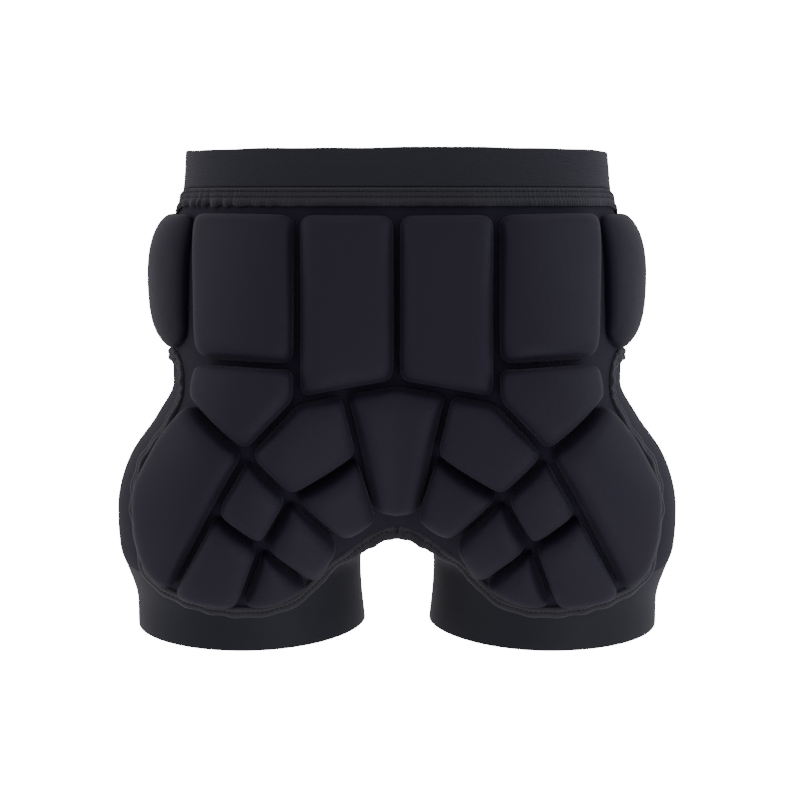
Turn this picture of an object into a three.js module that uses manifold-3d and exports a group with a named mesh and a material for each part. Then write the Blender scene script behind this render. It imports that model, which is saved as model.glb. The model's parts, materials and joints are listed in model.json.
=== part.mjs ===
// Padded protection shorts with the form that they have when worn, in millimetres with +Z up.
// +X is the wearer's right, -Y is the seat, and the origin is the centre of the waistband's loop.
import * as THREE from 'three';
import { mergeVertices } from 'three/addons/utils/BufferGeometryUtils.js';
import Module from 'manifold-3d';

// Lengths down the garment
const GARMENT_LENGTH = 364;
const WAISTBAND_HEIGHT = 29;
const WAIST_SEAM_HEIGHT = 13;
const INSEAM = 71;
const LEG_BAND_HEIGHT = 32;

// Widths from side to side
const WAIST_WIDTH = 314;
const HIP_WIDTH = 345;
const THIGH_SPAN = 431;
const CUFF_SPAN = 404;
const LEG_GAP = 56;
const CROTCH_ROUND = 20;

// Depths from back to front
const WAIST_DEPTH = 203;
const SEAT_DEPTH = 132;
const BELLY_DEPTH = 118;
const CUFF_DEPTH = 177;

// Cloth and trims
const CLOTH = 2;
const WAISTBAND_THICKNESS = 3;
const WAIST_SEAM_THICKNESS = 3;
const RUFFLE_PITCH = 38;
const RUFFLE_HEIGHT = 2;
const BINDING_WIDTH = 6;
const BINDING_THICKNESS = 2.2;
const PUCKER_PITCH = 44;
const PUCKER_DEPTH = 0.8;
const SEAM_CLEARANCE = 0.3;

// Foam pads
const PAD_THICKNESS = 18;
const GROOVE_WIDTH = 7;
const PAD_CORNER = 10;
const PAD_SHOULDER = 7;
const SIDE_PAD_SHOULDER = 30;

// How finely curved surfaces are divided
const INSIDE_STEPS = 4;
const OUTSIDE_STEPS = 5;
const FINE_STEPS = 32;
const ROW_STEP = 30;
const CROTCH_ROWS = 2;
const PAD_EDGE_STEP = 60;
const LARGE_PAD = 60;
const CORNER_STEPS = 2;
const BINDING_STEP = PUCKER_PITCH / 2;
const FORM_REACH = 20;
const SUNK = 6;
const CHART_STEP = 1.5;
const WELD = 1e-4;
const SLIVER_AREA = 1e-6;

// A level counts down the garment: 0 is the top rim, 1 the foot of the waist seam, 2 the crotch,
// 3 the hem of the padded panel and 4 the leg bands' rim.
const CROTCH_DROP = GARMENT_LENGTH - INSEAM;
const HEM_DROP = GARMENT_LENGTH - LEG_BAND_HEIGHT;
const PANEL_TOP = WAISTBAND_HEIGHT + WAIST_SEAM_HEIGHT;
const LEVEL_DROPS = [0, PANEL_TOP, CROTCH_DROP, HEM_DROP, GARMENT_LENGTH];
const WAISTBAND_FOOT = WAISTBAND_HEIGHT / PANEL_TOP;
const CROTCH_LEVEL = 2;

function dropAt(level) {
  const below = Math.min(Math.floor(level), LEVEL_DROPS.length - 2);
  return THREE.MathUtils.lerp(LEVEL_DROPS[below], LEVEL_DROPS[below + 1], level - below);
}

function heightAt(drop) {
  return WAISTBAND_HEIGHT / 2 - drop;
}

// Inner reach of a section: above the crotch a cleft that opens upwards, sooner at the front than at
// the seat, and below it half the gap between the legs. Both meet in the rounding of the crotch.
function cleft(share) {
  return CROTCH_ROUND - share * CROTCH_DROP;
}

function between(share) {
  return Math.hypot(CROTCH_ROUND, share * LEG_GAP);
}

// Level sections. Half width and depths are shares of the named sizes that they follow, and pole is
// the place of the fullest point as a share of the half width.
const SECTIONS = [
  { level: 0.00, half: 0.500 * WAIST_WIDTH, pole: 0.283, inner: cleft(0.955),
    innerFront: cleft(1), back: 0.507 * WAIST_DEPTH, front: 0.493 * WAIST_DEPTH },
  { level: WAISTBAND_FOOT, half: 0.509 * WAIST_WIDTH, pole: 0.302, inner: cleft(0.887),
    innerFront: cleft(1), back: 0.527 * WAIST_DEPTH, front: 0.507 * WAIST_DEPTH },
  { level: 1.124, half: 0.497 * HIP_WIDTH, pole: 0.344, inner: cleft(0.750),
    innerFront: cleft(1), back: 0.871 * SEAT_DEPTH, front: 0.932 * BELLY_DEPTH },
  { level: 1.269, half: 0.500 * HIP_WIDTH, pole: 0.410, inner: cleft(0.614),
    innerFront: cleft(0.98), back: 0.924 * SEAT_DEPTH, front: 0.966 * BELLY_DEPTH },
  { level: 1.427, half: 0.493 * HIP_WIDTH, pole: 0.497, inner: cleft(0.478),
    innerFront: cleft(0.93), back: 0.977 * SEAT_DEPTH, front: 0.992 * BELLY_DEPTH },
  { level: 1.514, half: 0.491 * HIP_WIDTH, pole: 0.551, inner: cleft(0.409),
    innerFront: cleft(0.87), back: 1.000 * SEAT_DEPTH, front: 1.000 * BELLY_DEPTH },
  { level: 1.627, half: 0.425 * THIGH_SPAN, pole: 0.557, inner: cleft(0.312),
    innerFront: cleft(0.7), back: 1.000 * SEAT_DEPTH, front: 1.000 * BELLY_DEPTH },
  { level: 1.749, half: 0.474 * THIGH_SPAN, pole: 0.529, inner: cleft(0.210),
    innerFront: cleft(0.48), back: 0.970 * SEAT_DEPTH, front: 0.983 * BELLY_DEPTH },
  { level: 1.867, half: 0.497 * THIGH_SPAN, pole: 0.523, inner: cleft(0.114),
    innerFront: cleft(0.28), back: 0.917 * SEAT_DEPTH, front: 0.958 * BELLY_DEPTH },
  { level: 1.964, half: 0.500 * THIGH_SPAN, pole: 0.529, inner: cleft(0.031),
    innerFront: cleft(0.09), back: 0.848 * SEAT_DEPTH, front: 0.915 * BELLY_DEPTH },
  { level: CROTCH_LEVEL, half: 0.499 * THIGH_SPAN, pole: 0.533, inner: cleft(0),
    innerFront: cleft(0), back: 0.822 * SEAT_DEPTH, front: 0.895 * BELLY_DEPTH },
  { level: 2.231, half: 0.497 * THIGH_SPAN, pole: 0.540, inner: between(0.430),
    innerFront: between(0.430), back: 0.795 * SEAT_DEPTH, front: 0.873 * BELLY_DEPTH },
  { level: 2.637, half: 0.484 * THIGH_SPAN, pole: 0.560, inner: between(0.550),
    innerFront: between(0.550), back: 0.554 * CUFF_DEPTH, front: 0.554 * CUFF_DEPTH },
  { level: 3.094, half: 0.503 * CUFF_SPAN, pole: 0.573, inner: between(0.540),
    innerFront: between(0.540), back: 0.520 * CUFF_DEPTH, front: 0.525 * CUFF_DEPTH },
  { level: 4.00, half: 0.500 * CUFF_SPAN, pole: 0.569, inner: between(0.490),
    innerFront: between(0.490), back: 0.497 * CUFF_DEPTH, front: 0.503 * CUFF_DEPTH },
];
const SECTION_DROPS = SECTIONS.map((section) => dropAt(section.level));

// Slope of one column of the table at a row, flat where the column turns
function slopeAt(column, row) {
  const last = SECTIONS.length - 1;
  const from = Math.max(row - 1, 0);
  const to = Math.min(row + 1, last);
  const rise = (a, b) => (SECTIONS[b][column] - SECTIONS[a][column]) / (SECTION_DROPS[b] - SECTION_DROPS[a]);
  if (row === 0 || row === last) return rise(from, to);
  const before = rise(from, row);
  const after = rise(row, to);
  if (before * after <= 0) return 0;
  const above = SECTION_DROPS[row] - SECTION_DROPS[from];
  const under = SECTION_DROPS[to] - SECTION_DROPS[row];
  return (before * under + after * above) / (above + under);
}

// One column of the table at any drop, on a smooth curve through its rows
function sizeAt(column, drop) {
  const last = SECTIONS.length - 1;
  const inside = THREE.MathUtils.clamp(drop, 0, SECTION_DROPS[last]);
  const next = SECTION_DROPS.findIndex((value, row) => row > 0 && inside <= value + WELD);
  const row = next - 1;
  const span = SECTION_DROPS[next] - SECTION_DROPS[row];
  const t = (inside - SECTION_DROPS[row]) / span;
  return SECTIONS[row][column] * (2 * t ** 3 - 3 * t ** 2 + 1)
    + slopeAt(column, row) * span * (t ** 3 - 2 * t ** 2 + t)
    + SECTIONS[next][column] * (3 * t ** 2 - 2 * t ** 3)
    + slopeAt(column, next) * span * (t ** 3 - t ** 2);
}

// Half a level section, from the middle of the back round the wearer's right to the middle of the
// front. From the fullest point outwards it is part of an ellipse, and inwards it bends into the
// cleft or round the inside of the leg.
function halfSection(drop, insideSteps, outsideSteps) {
  const half = sizeAt('half', drop);
  const pole = sizeAt('pole', drop) * half;
  const inner = sizeAt('inner', drop);
  const innerFront = drop < CROTCH_DROP ? sizeAt('innerFront', drop) : inner;
  const back = sizeAt('back', drop);
  const front = sizeAt('front', drop);
  const innerX = Math.sqrt(Math.max(inner * Math.abs(inner) - CROTCH_ROUND ** 2, 0));
  const poleX = Math.sqrt(Math.max(pole ** 2 - CROTCH_ROUND ** 2, 1));
  const insidePoint = (step, depth, reach) => {
    const x = innerX + (poleX - innerX) * (1 - Math.cos((step / insideSteps) * Math.PI / 2));
    const share = (pole - Math.hypot(x, CROTCH_ROUND)) / (pole - reach);
    return new THREE.Vector2(x, depth * Math.sqrt(Math.max(1 - share ** 2, 0)));
  };
  const outsidePoint = (step, depth) => {
    const angle = (step / outsideSteps) * Math.PI / 2;
    return new THREE.Vector2(poleX + (half - poleX) * Math.sin(angle), depth * Math.cos(angle));
  };
  const points = [];
  for (let step = 0; step < insideSteps; step += 1) points.push(insidePoint(step, -back, inner));
  for (let step = 0; step < outsideSteps; step += 1) points.push(outsidePoint(step, -back));
  for (let step = outsideSteps; step > 0; step -= 1) points.push(outsidePoint(step, front));
  for (let step = insideSteps; step >= 0; step -= 1) points.push(insidePoint(step, front, innerFront));
  return points;
}

// The chart of a section measures across from the middle of the back: straight across as far as
// the fullest point, and along the cloth from there on.
const charts = new Map();

function chartAt(drop) {
  const key = drop.toFixed(4);
  if (!charts.has(key)) {
    const points = halfSection(drop, FINE_STEPS, FINE_STEPS);
    const across = [points[0].x];
    for (let i = 1; i < points.length; i += 1) {
      const step = i <= FINE_STEPS ? points[i].x - points[i - 1].x : points[i].distanceTo(points[i - 1]);
      across.push(across[i - 1] + step);
    }
    charts.set(key, { points, across, side: across[2 * FINE_STEPS] });
  }
  return charts.get(key);
}

// Place on the form, from the distance across, negative on the wearer's left, and the drop
function formPoint(across, drop) {
  const chart = chartAt(drop);
  const last = chart.across.length - 1;
  const inside = THREE.MathUtils.clamp(Math.abs(across), chart.across[0], chart.across[last]);
  const next = Math.max(chart.across.findIndex((value) => inside <= value), 1);
  const span = chart.across[next] - chart.across[next - 1];
  const t = span > 0 ? (inside - chart.across[next - 1]) / span : 0;
  const flat = chart.points[next - 1].clone().lerp(chart.points[next], t);
  return new THREE.Vector3(across < 0 ? -flat.x : flat.x, flat.y, heightAt(drop));
}

function formNormal(across, drop) {
  const side = across < 0 ? -1 : 1;
  const start = chartAt(drop).across[0];
  const middle = start > 0 ? side * Math.max(Math.abs(across), start + CHART_STEP) : across;
  const along = formPoint(middle + CHART_STEP, drop).sub(formPoint(middle - CHART_STEP, drop));
  const upper = Math.max(drop - CHART_STEP, 0);
  const lower = Math.min(drop + CHART_STEP, GARMENT_LENGTH);
  const down = formPoint(middle, lower).sub(formPoint(middle, upper));
  return down.cross(along).normalize();
}

function liftedPoint(across, drop, lift) {
  return formPoint(across, drop).addScaledVector(formNormal(across, drop), lift);
}

// Marks in the tables are [share of the way from the middle of the back to the side line, level].
function markPoint([share, level]) {
  const drop = dropAt(level);
  return new THREE.Vector2(share * chartAt(drop).side, drop);
}

// Closed meshes from lists of triangles
function geometryOf(triangles) {
  const geometry = new THREE.BufferGeometry().setFromPoints(triangles);
  return mergeVertices(geometry, WELD);
}

function mirrored(triangles) {
  const flipped = triangles.map((point) => new THREE.Vector3(-point.x, point.y, point.z));
  for (let i = 0; i < flipped.length; i += 3) {
    [flipped[i + 1], flipped[i + 2]] = [flipped[i + 2], flipped[i + 1]];
  }
  return flipped;
}

// Joins rings of points into one closed skin, with a fan over the first and the last ring.
function skinOf(rings, firstCentre, lastCentre) {
  const triangles = [];
  const count = rings[0].length;
  for (let j = 0; j < count; j += 1) {
    const k = (j + 1) % count;
    triangles.push(firstCentre, rings[0][k], rings[0][j]);
    for (let i = 0; i < rings.length - 1; i += 1) {
      triangles.push(rings[i][j], rings[i][k], rings[i + 1][j]);
      triangles.push(rings[i][k], rings[i + 1][k], rings[i + 1][j]);
    }
    triangles.push(lastCentre, rings.at(-1)[j], rings.at(-1)[k]);
  }
  return triangles;
}

function centreOf(points) {
  const sum = points.reduce((total, point) => total.add(point), points[0].clone().multiplyScalar(0));
  return sum.divideScalar(points.length);
}

// Boolean work
const wasm = await Module();
wasm.setup();

function solidOf(geometry) {
  const bare = geometry.clone();
  bare.deleteAttribute('normal');
  bare.deleteAttribute('uv');
  const merged = mergeVertices(bare, WELD);
  return new wasm.Manifold(new wasm.Mesh({
    numProp: 3,
    vertProperties: new Float32Array(merged.attributes.position.array),
    triVerts: new Uint32Array(merged.index.array),
  }));
}

function trianglesOf(solid) {
  const mesh = solid.getMesh();
  return Array.from(mesh.triVerts, (vertex) =>
    new THREE.Vector3().fromArray(mesh.vertProperties, vertex * mesh.numProp));
}

function boxSolid(low, high) {
  const size = high.clone().sub(low);
  const centre = high.clone().add(low).divideScalar(2);
  const box = new THREE.BoxGeometry(size.x, size.y, size.z);
  return solidOf(box.translate(centre.x, centre.y, centre.z));
}

// The form that the cloth follows, as a closed skin that runs a little past its rims. It has a row
// where the cloth is cut level, and grows sideways alone there, so that each cut is a clean one.
const CLOTH_TOP = WAISTBAND_HEIGHT + SEAM_CLEARANCE;
const LEVEL_CUTS = [0, WAISTBAND_HEIGHT, CLOTH_TOP, GARMENT_LENGTH];

function meshDrops() {
  const drops = [-FORM_REACH, 0];
  for (let row = 1; row < SECTIONS.length; row += 1) {
    const from = SECTION_DROPS[row - 1];
    const to = SECTION_DROPS[row];
    const towardsCrotch = SECTIONS[row].level === CROTCH_LEVEL;
    const fromCrotch = SECTIONS[row - 1].level === CROTCH_LEVEL;
    const steps = towardsCrotch || fromCrotch ? CROTCH_ROWS : Math.max(Math.round((to - from) / ROW_STEP), 1);
    for (let step = 1; step <= steps; step += 1) {
      let share = step / steps;
      if (fromCrotch) share **= 2;
      if (towardsCrotch) share = 1 - (1 - share) ** 2;
      drops.push(from + (to - from) * share);
    }
    if (SECTIONS[row].level === WAISTBAND_FOOT) drops.push(CLOTH_TOP);
  }
  drops.push(GARMENT_LENGTH + FORM_REACH);
  return drops;
}

function formGeometry() {
  const rows = meshDrops().map((drop) => {
    const onForm = THREE.MathUtils.clamp(drop, 0, GARMENT_LENGTH);
    return halfSection(onForm, INSIDE_STEPS, OUTSIDE_STEPS)
      .map((flat) => new THREE.Vector3(flat.x, flat.y, heightAt(drop)));
  });
  const top = new THREE.Vector3(0, 0, rows[0][0].z);
  const bottom = centreOf(rows.at(-1));
  const triangles = [];
  for (let j = 0; j < rows[0].length - 1; j += 1) {
    triangles.push(top, rows[0][j], rows[0][j + 1]);
    for (let i = 0; i < rows.length - 1; i += 1) {
      triangles.push(rows[i][j], rows[i + 1][j], rows[i][j + 1]);
      triangles.push(rows[i][j + 1], rows[i + 1][j], rows[i + 1][j + 1]);
    }
    triangles.push(bottom, rows.at(-1)[j + 1], rows.at(-1)[j]);
  }
  const area = new THREE.Triangle();
  const real = [];
  for (const side of [triangles, mirrored(triangles)]) {
    for (let i = 0; i < side.length; i += 3) {
      area.set(side[i], side[i + 1], side[i + 2]);
      if (area.getArea() > SLIVER_AREA) real.push(side[i], side[i + 1], side[i + 2]);
    }
  }
  const geometry = geometryOf(real);
  geometry.computeVertexNormals();
  return geometry;
}

const form = formGeometry();

function formSolid(lift) {
  const grown = form.clone();
  const { position, normal } = grown.attributes;
  const place = new THREE.Vector3();
  const outward = new THREE.Vector3();
  for (let i = 0; i < position.count; i += 1) {
    place.fromBufferAttribute(position, i);
    outward.fromBufferAttribute(normal, i);
    if (LEVEL_CUTS.some((drop) => Math.abs(heightAt(drop) - place.z) < WELD)) outward.z = 0;
    place.addScaledVector(outward, lift);
    position.setXYZ(i, place.x, place.y, place.z);
  }
  return solidOf(grown);
}

const hollow = formSolid(0);
const clothTop = formSolid(CLOTH + SEAM_CLEARANCE);
const REACH = 2 * Math.max(THIGH_SPAN, GARMENT_LENGTH);

// A slab of the whole width between two drops, and the wearer's right half
function slab(upper, lower) {
  return boxSolid(
    new THREE.Vector3(-REACH, -REACH, heightAt(lower)),
    new THREE.Vector3(REACH, REACH, heightAt(upper)),
  );
}

const rightHalf = boxSolid(
  new THREE.Vector3(SEAM_CLEARANCE / 2, -REACH, -REACH),
  new THREE.Vector3(REACH, REACH, REACH),
);

// Moves each edge of an outline inwards by a distance, or outwards if it is negative. The outline
// runs with its inside on its right as across grows to the right and drop grows downwards.
const SHARPEST_CORNER = 0.5;

function inset(corners, distance) {
  const turn = THREE.ShapeUtils.isClockWise(corners) ? -1 : 1;
  const inward = (a, b) => new THREE.Vector2(a.y - b.y, b.x - a.x).normalize().multiplyScalar(turn);
  return corners.map((corner, i) => {
    const before = inward(corners.at(i - 1), corner);
    const after = inward(corner, corners[(i + 1) % corners.length]);
    const middle = before.clone().add(after).normalize();
    return corner.clone().addScaledVector(middle, distance / Math.max(middle.dot(before), SHARPEST_CORNER));
  });
}

// The padded panel's hem: low behind the leg, rising to the crotch inside and to the side seam outside.
// Marks are [share of half the thigh span, level].
const HEM_MARKS = [
  [0, 1.935], [0.07, 1.95], [0.144, 1.99], [0.224, 2.212], [0.303, 2.643], [0.356, 2.87],
  [0.436, 2.997], [0.531, 3.01], [0.639, 2.946], [0.73, 2.816], [0.812, 2.629], [0.852, 2.464],
];
const hemMarks = HEM_MARKS.map(([share, level]) => new THREE.Vector2(share * THIGH_SPAN / 2, dropAt(level)));
const hemCurve = new THREE.SplineCurve(hemMarks);
const hemEnd = hemMarks.at(-1);
const HEM_STEPS = 12;

// The side seam, which follows the thigh pad's edge but reaches round to the front at the side pad,
// and ends where the hem does. Marks are [share of the seat depth, level], with the seat negative.
const SEAM_TOP = 0.45;
const SIDE_SEAM_MARKS = [
  [SEAM_TOP, 0], [SEAM_TOP, 1], [SEAM_TOP, 1.28], [0.36, 1.396], [0, 1.437], [-0.42, 1.427],
  [-0.57, 1.463], [-0.605, 1.524], [-0.61, 1.632], [-0.56, 1.725], [-0.575, 1.849], [-0.58, 1.948], [-0.56, 2.118],
];
const seamFoot = new THREE.Vector2(formPoint(acrossAtWidth(hemEnd.x, hemEnd.y), hemEnd.y).y, hemEnd.y);
const sideSeamCurve = new THREE.SplineCurve([
  ...SIDE_SEAM_MARKS.map(([share, level]) => new THREE.Vector2(share * SEAT_DEPTH, dropAt(level))),
  seamFoot,
]);
const SIDE_SEAM_STEPS = 14;

// Zone of the right leg band, seen from behind, cut through from back to front
function legZone(grow) {
  const edge = hemCurve.getPoints(HEM_STEPS);
  const outline = [
    ...edge,
    new THREE.Vector2(REACH, hemEnd.y),
    new THREE.Vector2(REACH, REACH),
    new THREE.Vector2(-REACH / 2, REACH),
    new THREE.Vector2(-REACH / 2, edge[0].y),
  ];
  const shape = new THREE.Shape(inset(outline, -grow).map((p) => new THREE.Vector2(p.x, heightAt(p.y))));
  const prism = new THREE.ExtrudeGeometry(shape, { depth: 2 * REACH, bevelEnabled: false });
  return solidOf(prism.translate(0, 0, -REACH).rotateX(Math.PI / 2)).intersect(rightHalf);
}

// Zone of the back panel, seen from the side, cut through from left to right. Towards the crotch it
// takes in all of the cloth behind the middle.
function backZone(grow) {
  const outline = [
    ...sideSeamCurve.getPoints(SIDE_SEAM_STEPS),
    new THREE.Vector2(seamFoot.x, REACH),
    new THREE.Vector2(-REACH, REACH),
    new THREE.Vector2(-REACH, -REACH),
    new THREE.Vector2(SEAM_TOP * SEAT_DEPTH, -REACH),
  ];
  const shape = new THREE.Shape(inset(outline, -grow).map((p) => new THREE.Vector2(p.x, heightAt(p.y))));
  const prism = new THREE.ExtrudeGeometry(shape, { depth: 2 * REACH, bevelEnabled: false });
  const towardsCrotch = boxSolid(
    new THREE.Vector3(-THIGH_SPAN / 4, -REACH, -REACH),
    new THREE.Vector3(THIGH_SPAN / 4, 0, REACH),
  );
  return solidOf(prism.translate(0, 0, -REACH).rotateX(Math.PI / 2).rotateZ(Math.PI / 2))
    .add(towardsCrotch);
}

function waistband() {
  return formSolid(WAISTBAND_THICKNESS).subtract(hollow).intersect(slab(0, WAISTBAND_HEIGHT));
}

// The cloth below the waistband, before it is parted into panels
const cloth = formSolid(CLOTH).subtract(hollow)
  .intersect(slab(CLOTH_TOP, GARMENT_LENGTH));
const halfSeam = SEAM_CLEARANCE / 2;
const rightLegCut = legZone(halfSeam);
const leftLegCut = solidOf(geometryOf(mirrored(trianglesOf(rightLegCut))));
const centreCut = boxSolid(
  new THREE.Vector3(-SEAM_CLEARANCE, -REACH, -REACH),
  new THREE.Vector3(SEAM_CLEARANCE, REACH, heightAt(hemCurve.getPoint(0).y) + halfSeam),
);
const panels = cloth.subtract(rightLegCut).subtract(leftLegCut).subtract(centreCut);

function backPanel() {
  return panels.intersect(backZone(-halfSeam));
}

function frontPanel() {
  return panels.subtract(backZone(halfSeam));
}

function legBand() {
  return cloth.intersect(legZone(-halfSeam));
}

// The gathered strip under the waistband: a roll at its top, a pinch at its stitches and a ruffled
// foot. Rise is a share of the strip's thickness, and ruffle of its waves' height. Each wave lifts
// the foot by a share of the strip's height.
const WAVE_LIFT = 0.1;
const WAIST_SEAM_PROFILE = [
  { down: 0.00, rise: 0.60, ruffle: 0 },
  { down: 0.22, rise: 1.00, ruffle: 0.1 },
  { down: 0.48, rise: 0.45, ruffle: 0.1 },
  { down: 1.00, rise: 0.40, ruffle: 1 },
];

function waistSeam() {
  const round = 2 * chartAt(WAISTBAND_HEIGHT).across.at(-1);
  const waves = 2 * Math.round(round / RUFFLE_PITCH / 2);
  const columns = 2 * waves;
  const height = WAIST_SEAM_HEIGHT - SEAM_CLEARANCE;
  const base = CLOTH + SEAM_CLEARANCE;
  const section = (column) => {
    const turn = 2 * column / columns;
    const left = turn > 1;
    const share = left ? 2 - turn : turn;
    const wave = column % 2;
    const place = (down, lift) => {
      const drop = CLOTH_TOP + height * down;
      const point = liftedPoint(share * chartAt(drop).across.at(-1), drop, lift);
      if (left) point.x = -point.x;
      if (share === 0 || share === 1) point.x = 0;
      point.z = heightAt(drop);
      return point;
    };
    const outer = WAIST_SEAM_PROFILE.map(({ down, rise, ruffle }) => place(
      down * (1 - WAVE_LIFT * ruffle * wave),
      base + rise * WAIST_SEAM_THICKNESS + ruffle * wave * RUFFLE_HEIGHT,
    ));
    const foot = 1 - WAVE_LIFT * wave;
    return [...outer, place(foot, -SUNK / 2), place(0, -SUNK / 2)];
  };
  const sections = Array.from({ length: columns }, (_, column) => section(column));
  const triangles = [];
  sections.forEach((ring, i) => {
    const next = sections[(i + 1) % columns];
    ring.forEach((point, j) => {
      const k = (j + 1) % ring.length;
      triangles.push(point, ring[k], next[j]);
      triangles.push(ring[k], next[k], next[j]);
    });
  });
  return solidOf(geometryOf(triangles)).subtract(clothTop);
}

// The folded strip over the padded panel's edge, from the crotch round the leg and up the side
function acrossAtWidth(x, drop) {
  const chart = chartAt(drop);
  const next = Math.max(chart.points.findIndex((point) => point.x >= x), 1);
  const [a, b] = [chart.points[next - 1], chart.points[next]];
  const t = THREE.MathUtils.clamp((x - a.x) / (b.x - a.x), 0, 1);
  return THREE.MathUtils.lerp(chart.across[next - 1], chart.across[next], t);
}

function acrossAtDepth(y, drop) {
  const chart = chartAt(drop);
  const outside = (point, i) => i > FINE_STEPS && point.y >= y;
  const next = chart.points.findIndex(outside);
  const [a, b] = [chart.points[next - 1], chart.points[next]];
  return THREE.MathUtils.lerp(chart.across[next - 1], chart.across[next], (y - a.y) / (b.y - a.y));
}

function bindingPath() {
  const hem = hemCurve.getPoints(HEM_STEPS).map((p) => new THREE.Vector2(acrossAtWidth(p.x, p.y), p.y));
  const clear = dropAt(1) + BINDING_WIDTH / 2;
  const seam = sideSeamCurve.getPoints(SIDE_SEAM_STEPS)
    .filter((p) => p.y > clear && p.y < hemEnd.y - BINDING_WIDTH)
    .map((p) => new THREE.Vector2(acrossAtDepth(p.x, p.y), p.y));
  const path = new THREE.CurvePath();
  const points = [...hem, ...seam.reverse()];
  points.push(new THREE.Vector2(acrossAtDepth(SEAM_TOP * SEAT_DEPTH, clear), clear));
  points.slice(1).forEach((point, i) => path.add(new THREE.LineCurve(points[i], point)));
  return path;
}

const BINDING_TOP_SHARE = 0.7;

function edgeBinding() {
  const path = bindingPath();
  const steps = 2 * Math.round(path.getLength() / BINDING_STEP / 2);
  const marks = path.getSpacedPoints(steps);
  const centres = marks.map((mark) => liftedPoint(mark.x, mark.y, CLOTH + SEAM_CLEARANCE));
  const rings = marks.map((mark, i) => {
    const outward = formNormal(mark.x, mark.y);
    const ahead = centres[Math.min(i + 1, steps)].clone().sub(centres[Math.max(i - 1, 0)]).normalize();
    const sideways = ahead.cross(outward).normalize();
    const half = (BINDING_WIDTH - PUCKER_DEPTH * (i % 2)) / 2;
    const height = BINDING_THICKNESS - PUCKER_DEPTH * (i % 2) / 2;
    const place = (width, lift) => centres[i].clone()
      .addScaledVector(sideways, width * half).addScaledVector(outward, lift);
    return [
      place(-1, -SUNK / 2),
      place(-BINDING_TOP_SHARE, height),
      place(BINDING_TOP_SHARE, height),
      place(1, -SUNK / 2),
    ];
  });
  const triangles = skinOf(rings, centreOf(rings[0]), centreOf(rings.at(-1)));
  return solidOf(geometryOf(triangles)).subtract(clothTop).intersect(rightHalf);
}

// Foam pads. Each outline is a list of marks on the back panel, and the groove between two pads
// is left free. Neighbours share their marks, so a groove keeps one width.
const topMiddle = [0, 1.012];
const topInner = [0.301, 1.012];
const topOuter = [0.655, 1.012];
const backFootMiddle = [0, 1.473];
const backFootOuter = [0.267, 1.518];
const backFootInner = [0.144, 1.495];
const tailboneSide = [0.103, 1.664];
const hipTopInner = [0.271, 1.428];
const hipTopOuter = [0.563, 1.424];
const hipFootOuter = [0.56, 1.533];
const fanTop = [0.375, 1.663];
const fanInner = [0.264, 1.784];
const fanFoot = [0.34, 1.928];
const fanOuter = [0.44, 1.828];
const hemAtCrotch = [0.057, 1.854];
const hemInner = [0.155, 1.925];
const hemMiddle = [0.241, 2.5];
const hemOuter = [0.44, 2.931];
const hemLow = [0.344, 2.892];
const outerLow = [0.555, 2.82];
const hemAtThigh = [0.606, 2.656];
const SIDE_MARKS = [[0.7, 1.012], [1.22, 1.012], [1.17, 1.355], [0.74, 1.416], [0.645, 1.371]];
const THIGH_EDGE = [[0.632, 1.637], [0.69, 1.785], [0.688, 1.923], [0.682, 2.3], [0.648, 2.578]];
const TAILBONE_MARKS = [backFootMiddle, backFootInner, tailboneSide, [0.075, 1.846]];

// How a pad rises from the cloth and rounds over into its top, as shares of its shoulder and height
const FLAT_TOPPED = [
  { inwards: 0, rise: 0.55 },
  { inwards: 0.3, rise: 0.86 },
  { inwards: 1, rise: 1 },
];
const CROWNED = [
  { inwards: 0, rise: 0.2 },
  { inwards: 0.35, rise: 0.7 },
  { inwards: 1, rise: 1 },
];

const PADS = {
  back_pad_inner: {
    marks: [topMiddle, topInner, hipTopInner, backFootOuter, backFootInner, backFootMiddle],
  },
  back_pad_outer: { marks: [topInner, topOuter, hipTopOuter, hipTopInner] },
  side_pad: { marks: SIDE_MARKS, shoulder: SIDE_PAD_SHOULDER, profile: CROWNED },
  hip_pad: { marks: [hipTopInner, hipTopOuter, hipFootOuter, fanTop, backFootOuter] },
  thigh_pad: { marks: [hipFootOuter, ...THIGH_EDGE, hemAtThigh, fanOuter, fanTop] },
  seat_pad_upper: { marks: [backFootInner, backFootOuter, fanTop, fanInner, tailboneSide] },
  seat_pad_inner: { marks: [tailboneSide, fanInner, hemInner, hemAtCrotch] },
  seat_pad_middle: { marks: [fanTop, fanOuter, fanFoot, fanInner] },
  seat_pad_lower: { marks: [fanInner, fanFoot, hemMiddle, hemInner] },
  seat_pad_outer: { marks: [fanOuter, hemAtThigh, outerLow, hemOuter, fanFoot] },
  seat_pad_hem: { marks: [fanFoot, hemOuter, hemLow, hemMiddle] },
};

// An outline with rounded corners, with as many points whatever its size. A corner takes no more
// than a share of the edges next to it.
const CORNER_ROOM = 0.45;

function roundedOutline(corners, radius, edgeSteps) {
  return corners.flatMap((corner, i) => {
    const before = corners.at(i - 1);
    const after = corners[(i + 1) % corners.length];
    const room = CORNER_ROOM * Math.min(corner.distanceTo(before), corner.distanceTo(after));
    const cut = Math.min(radius, room);
    const from = corner.clone().lerp(before, cut / corner.distanceTo(before));
    const to = corner.clone().lerp(after, cut / corner.distanceTo(after));
    const bend = new THREE.QuadraticBezierCurve(from, corner, to).getPoints(CORNER_STEPS);
    const afterRoom = CORNER_ROOM * corner.distanceTo(after);
    const end = after.clone().lerp(corner, Math.min(radius, afterRoom) / corner.distanceTo(after));
    const edge = new THREE.LineCurve(to, end).getPoints(edgeSteps[i]).slice(1, -1);
    return [...bend, ...edge];
  });
}

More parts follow.
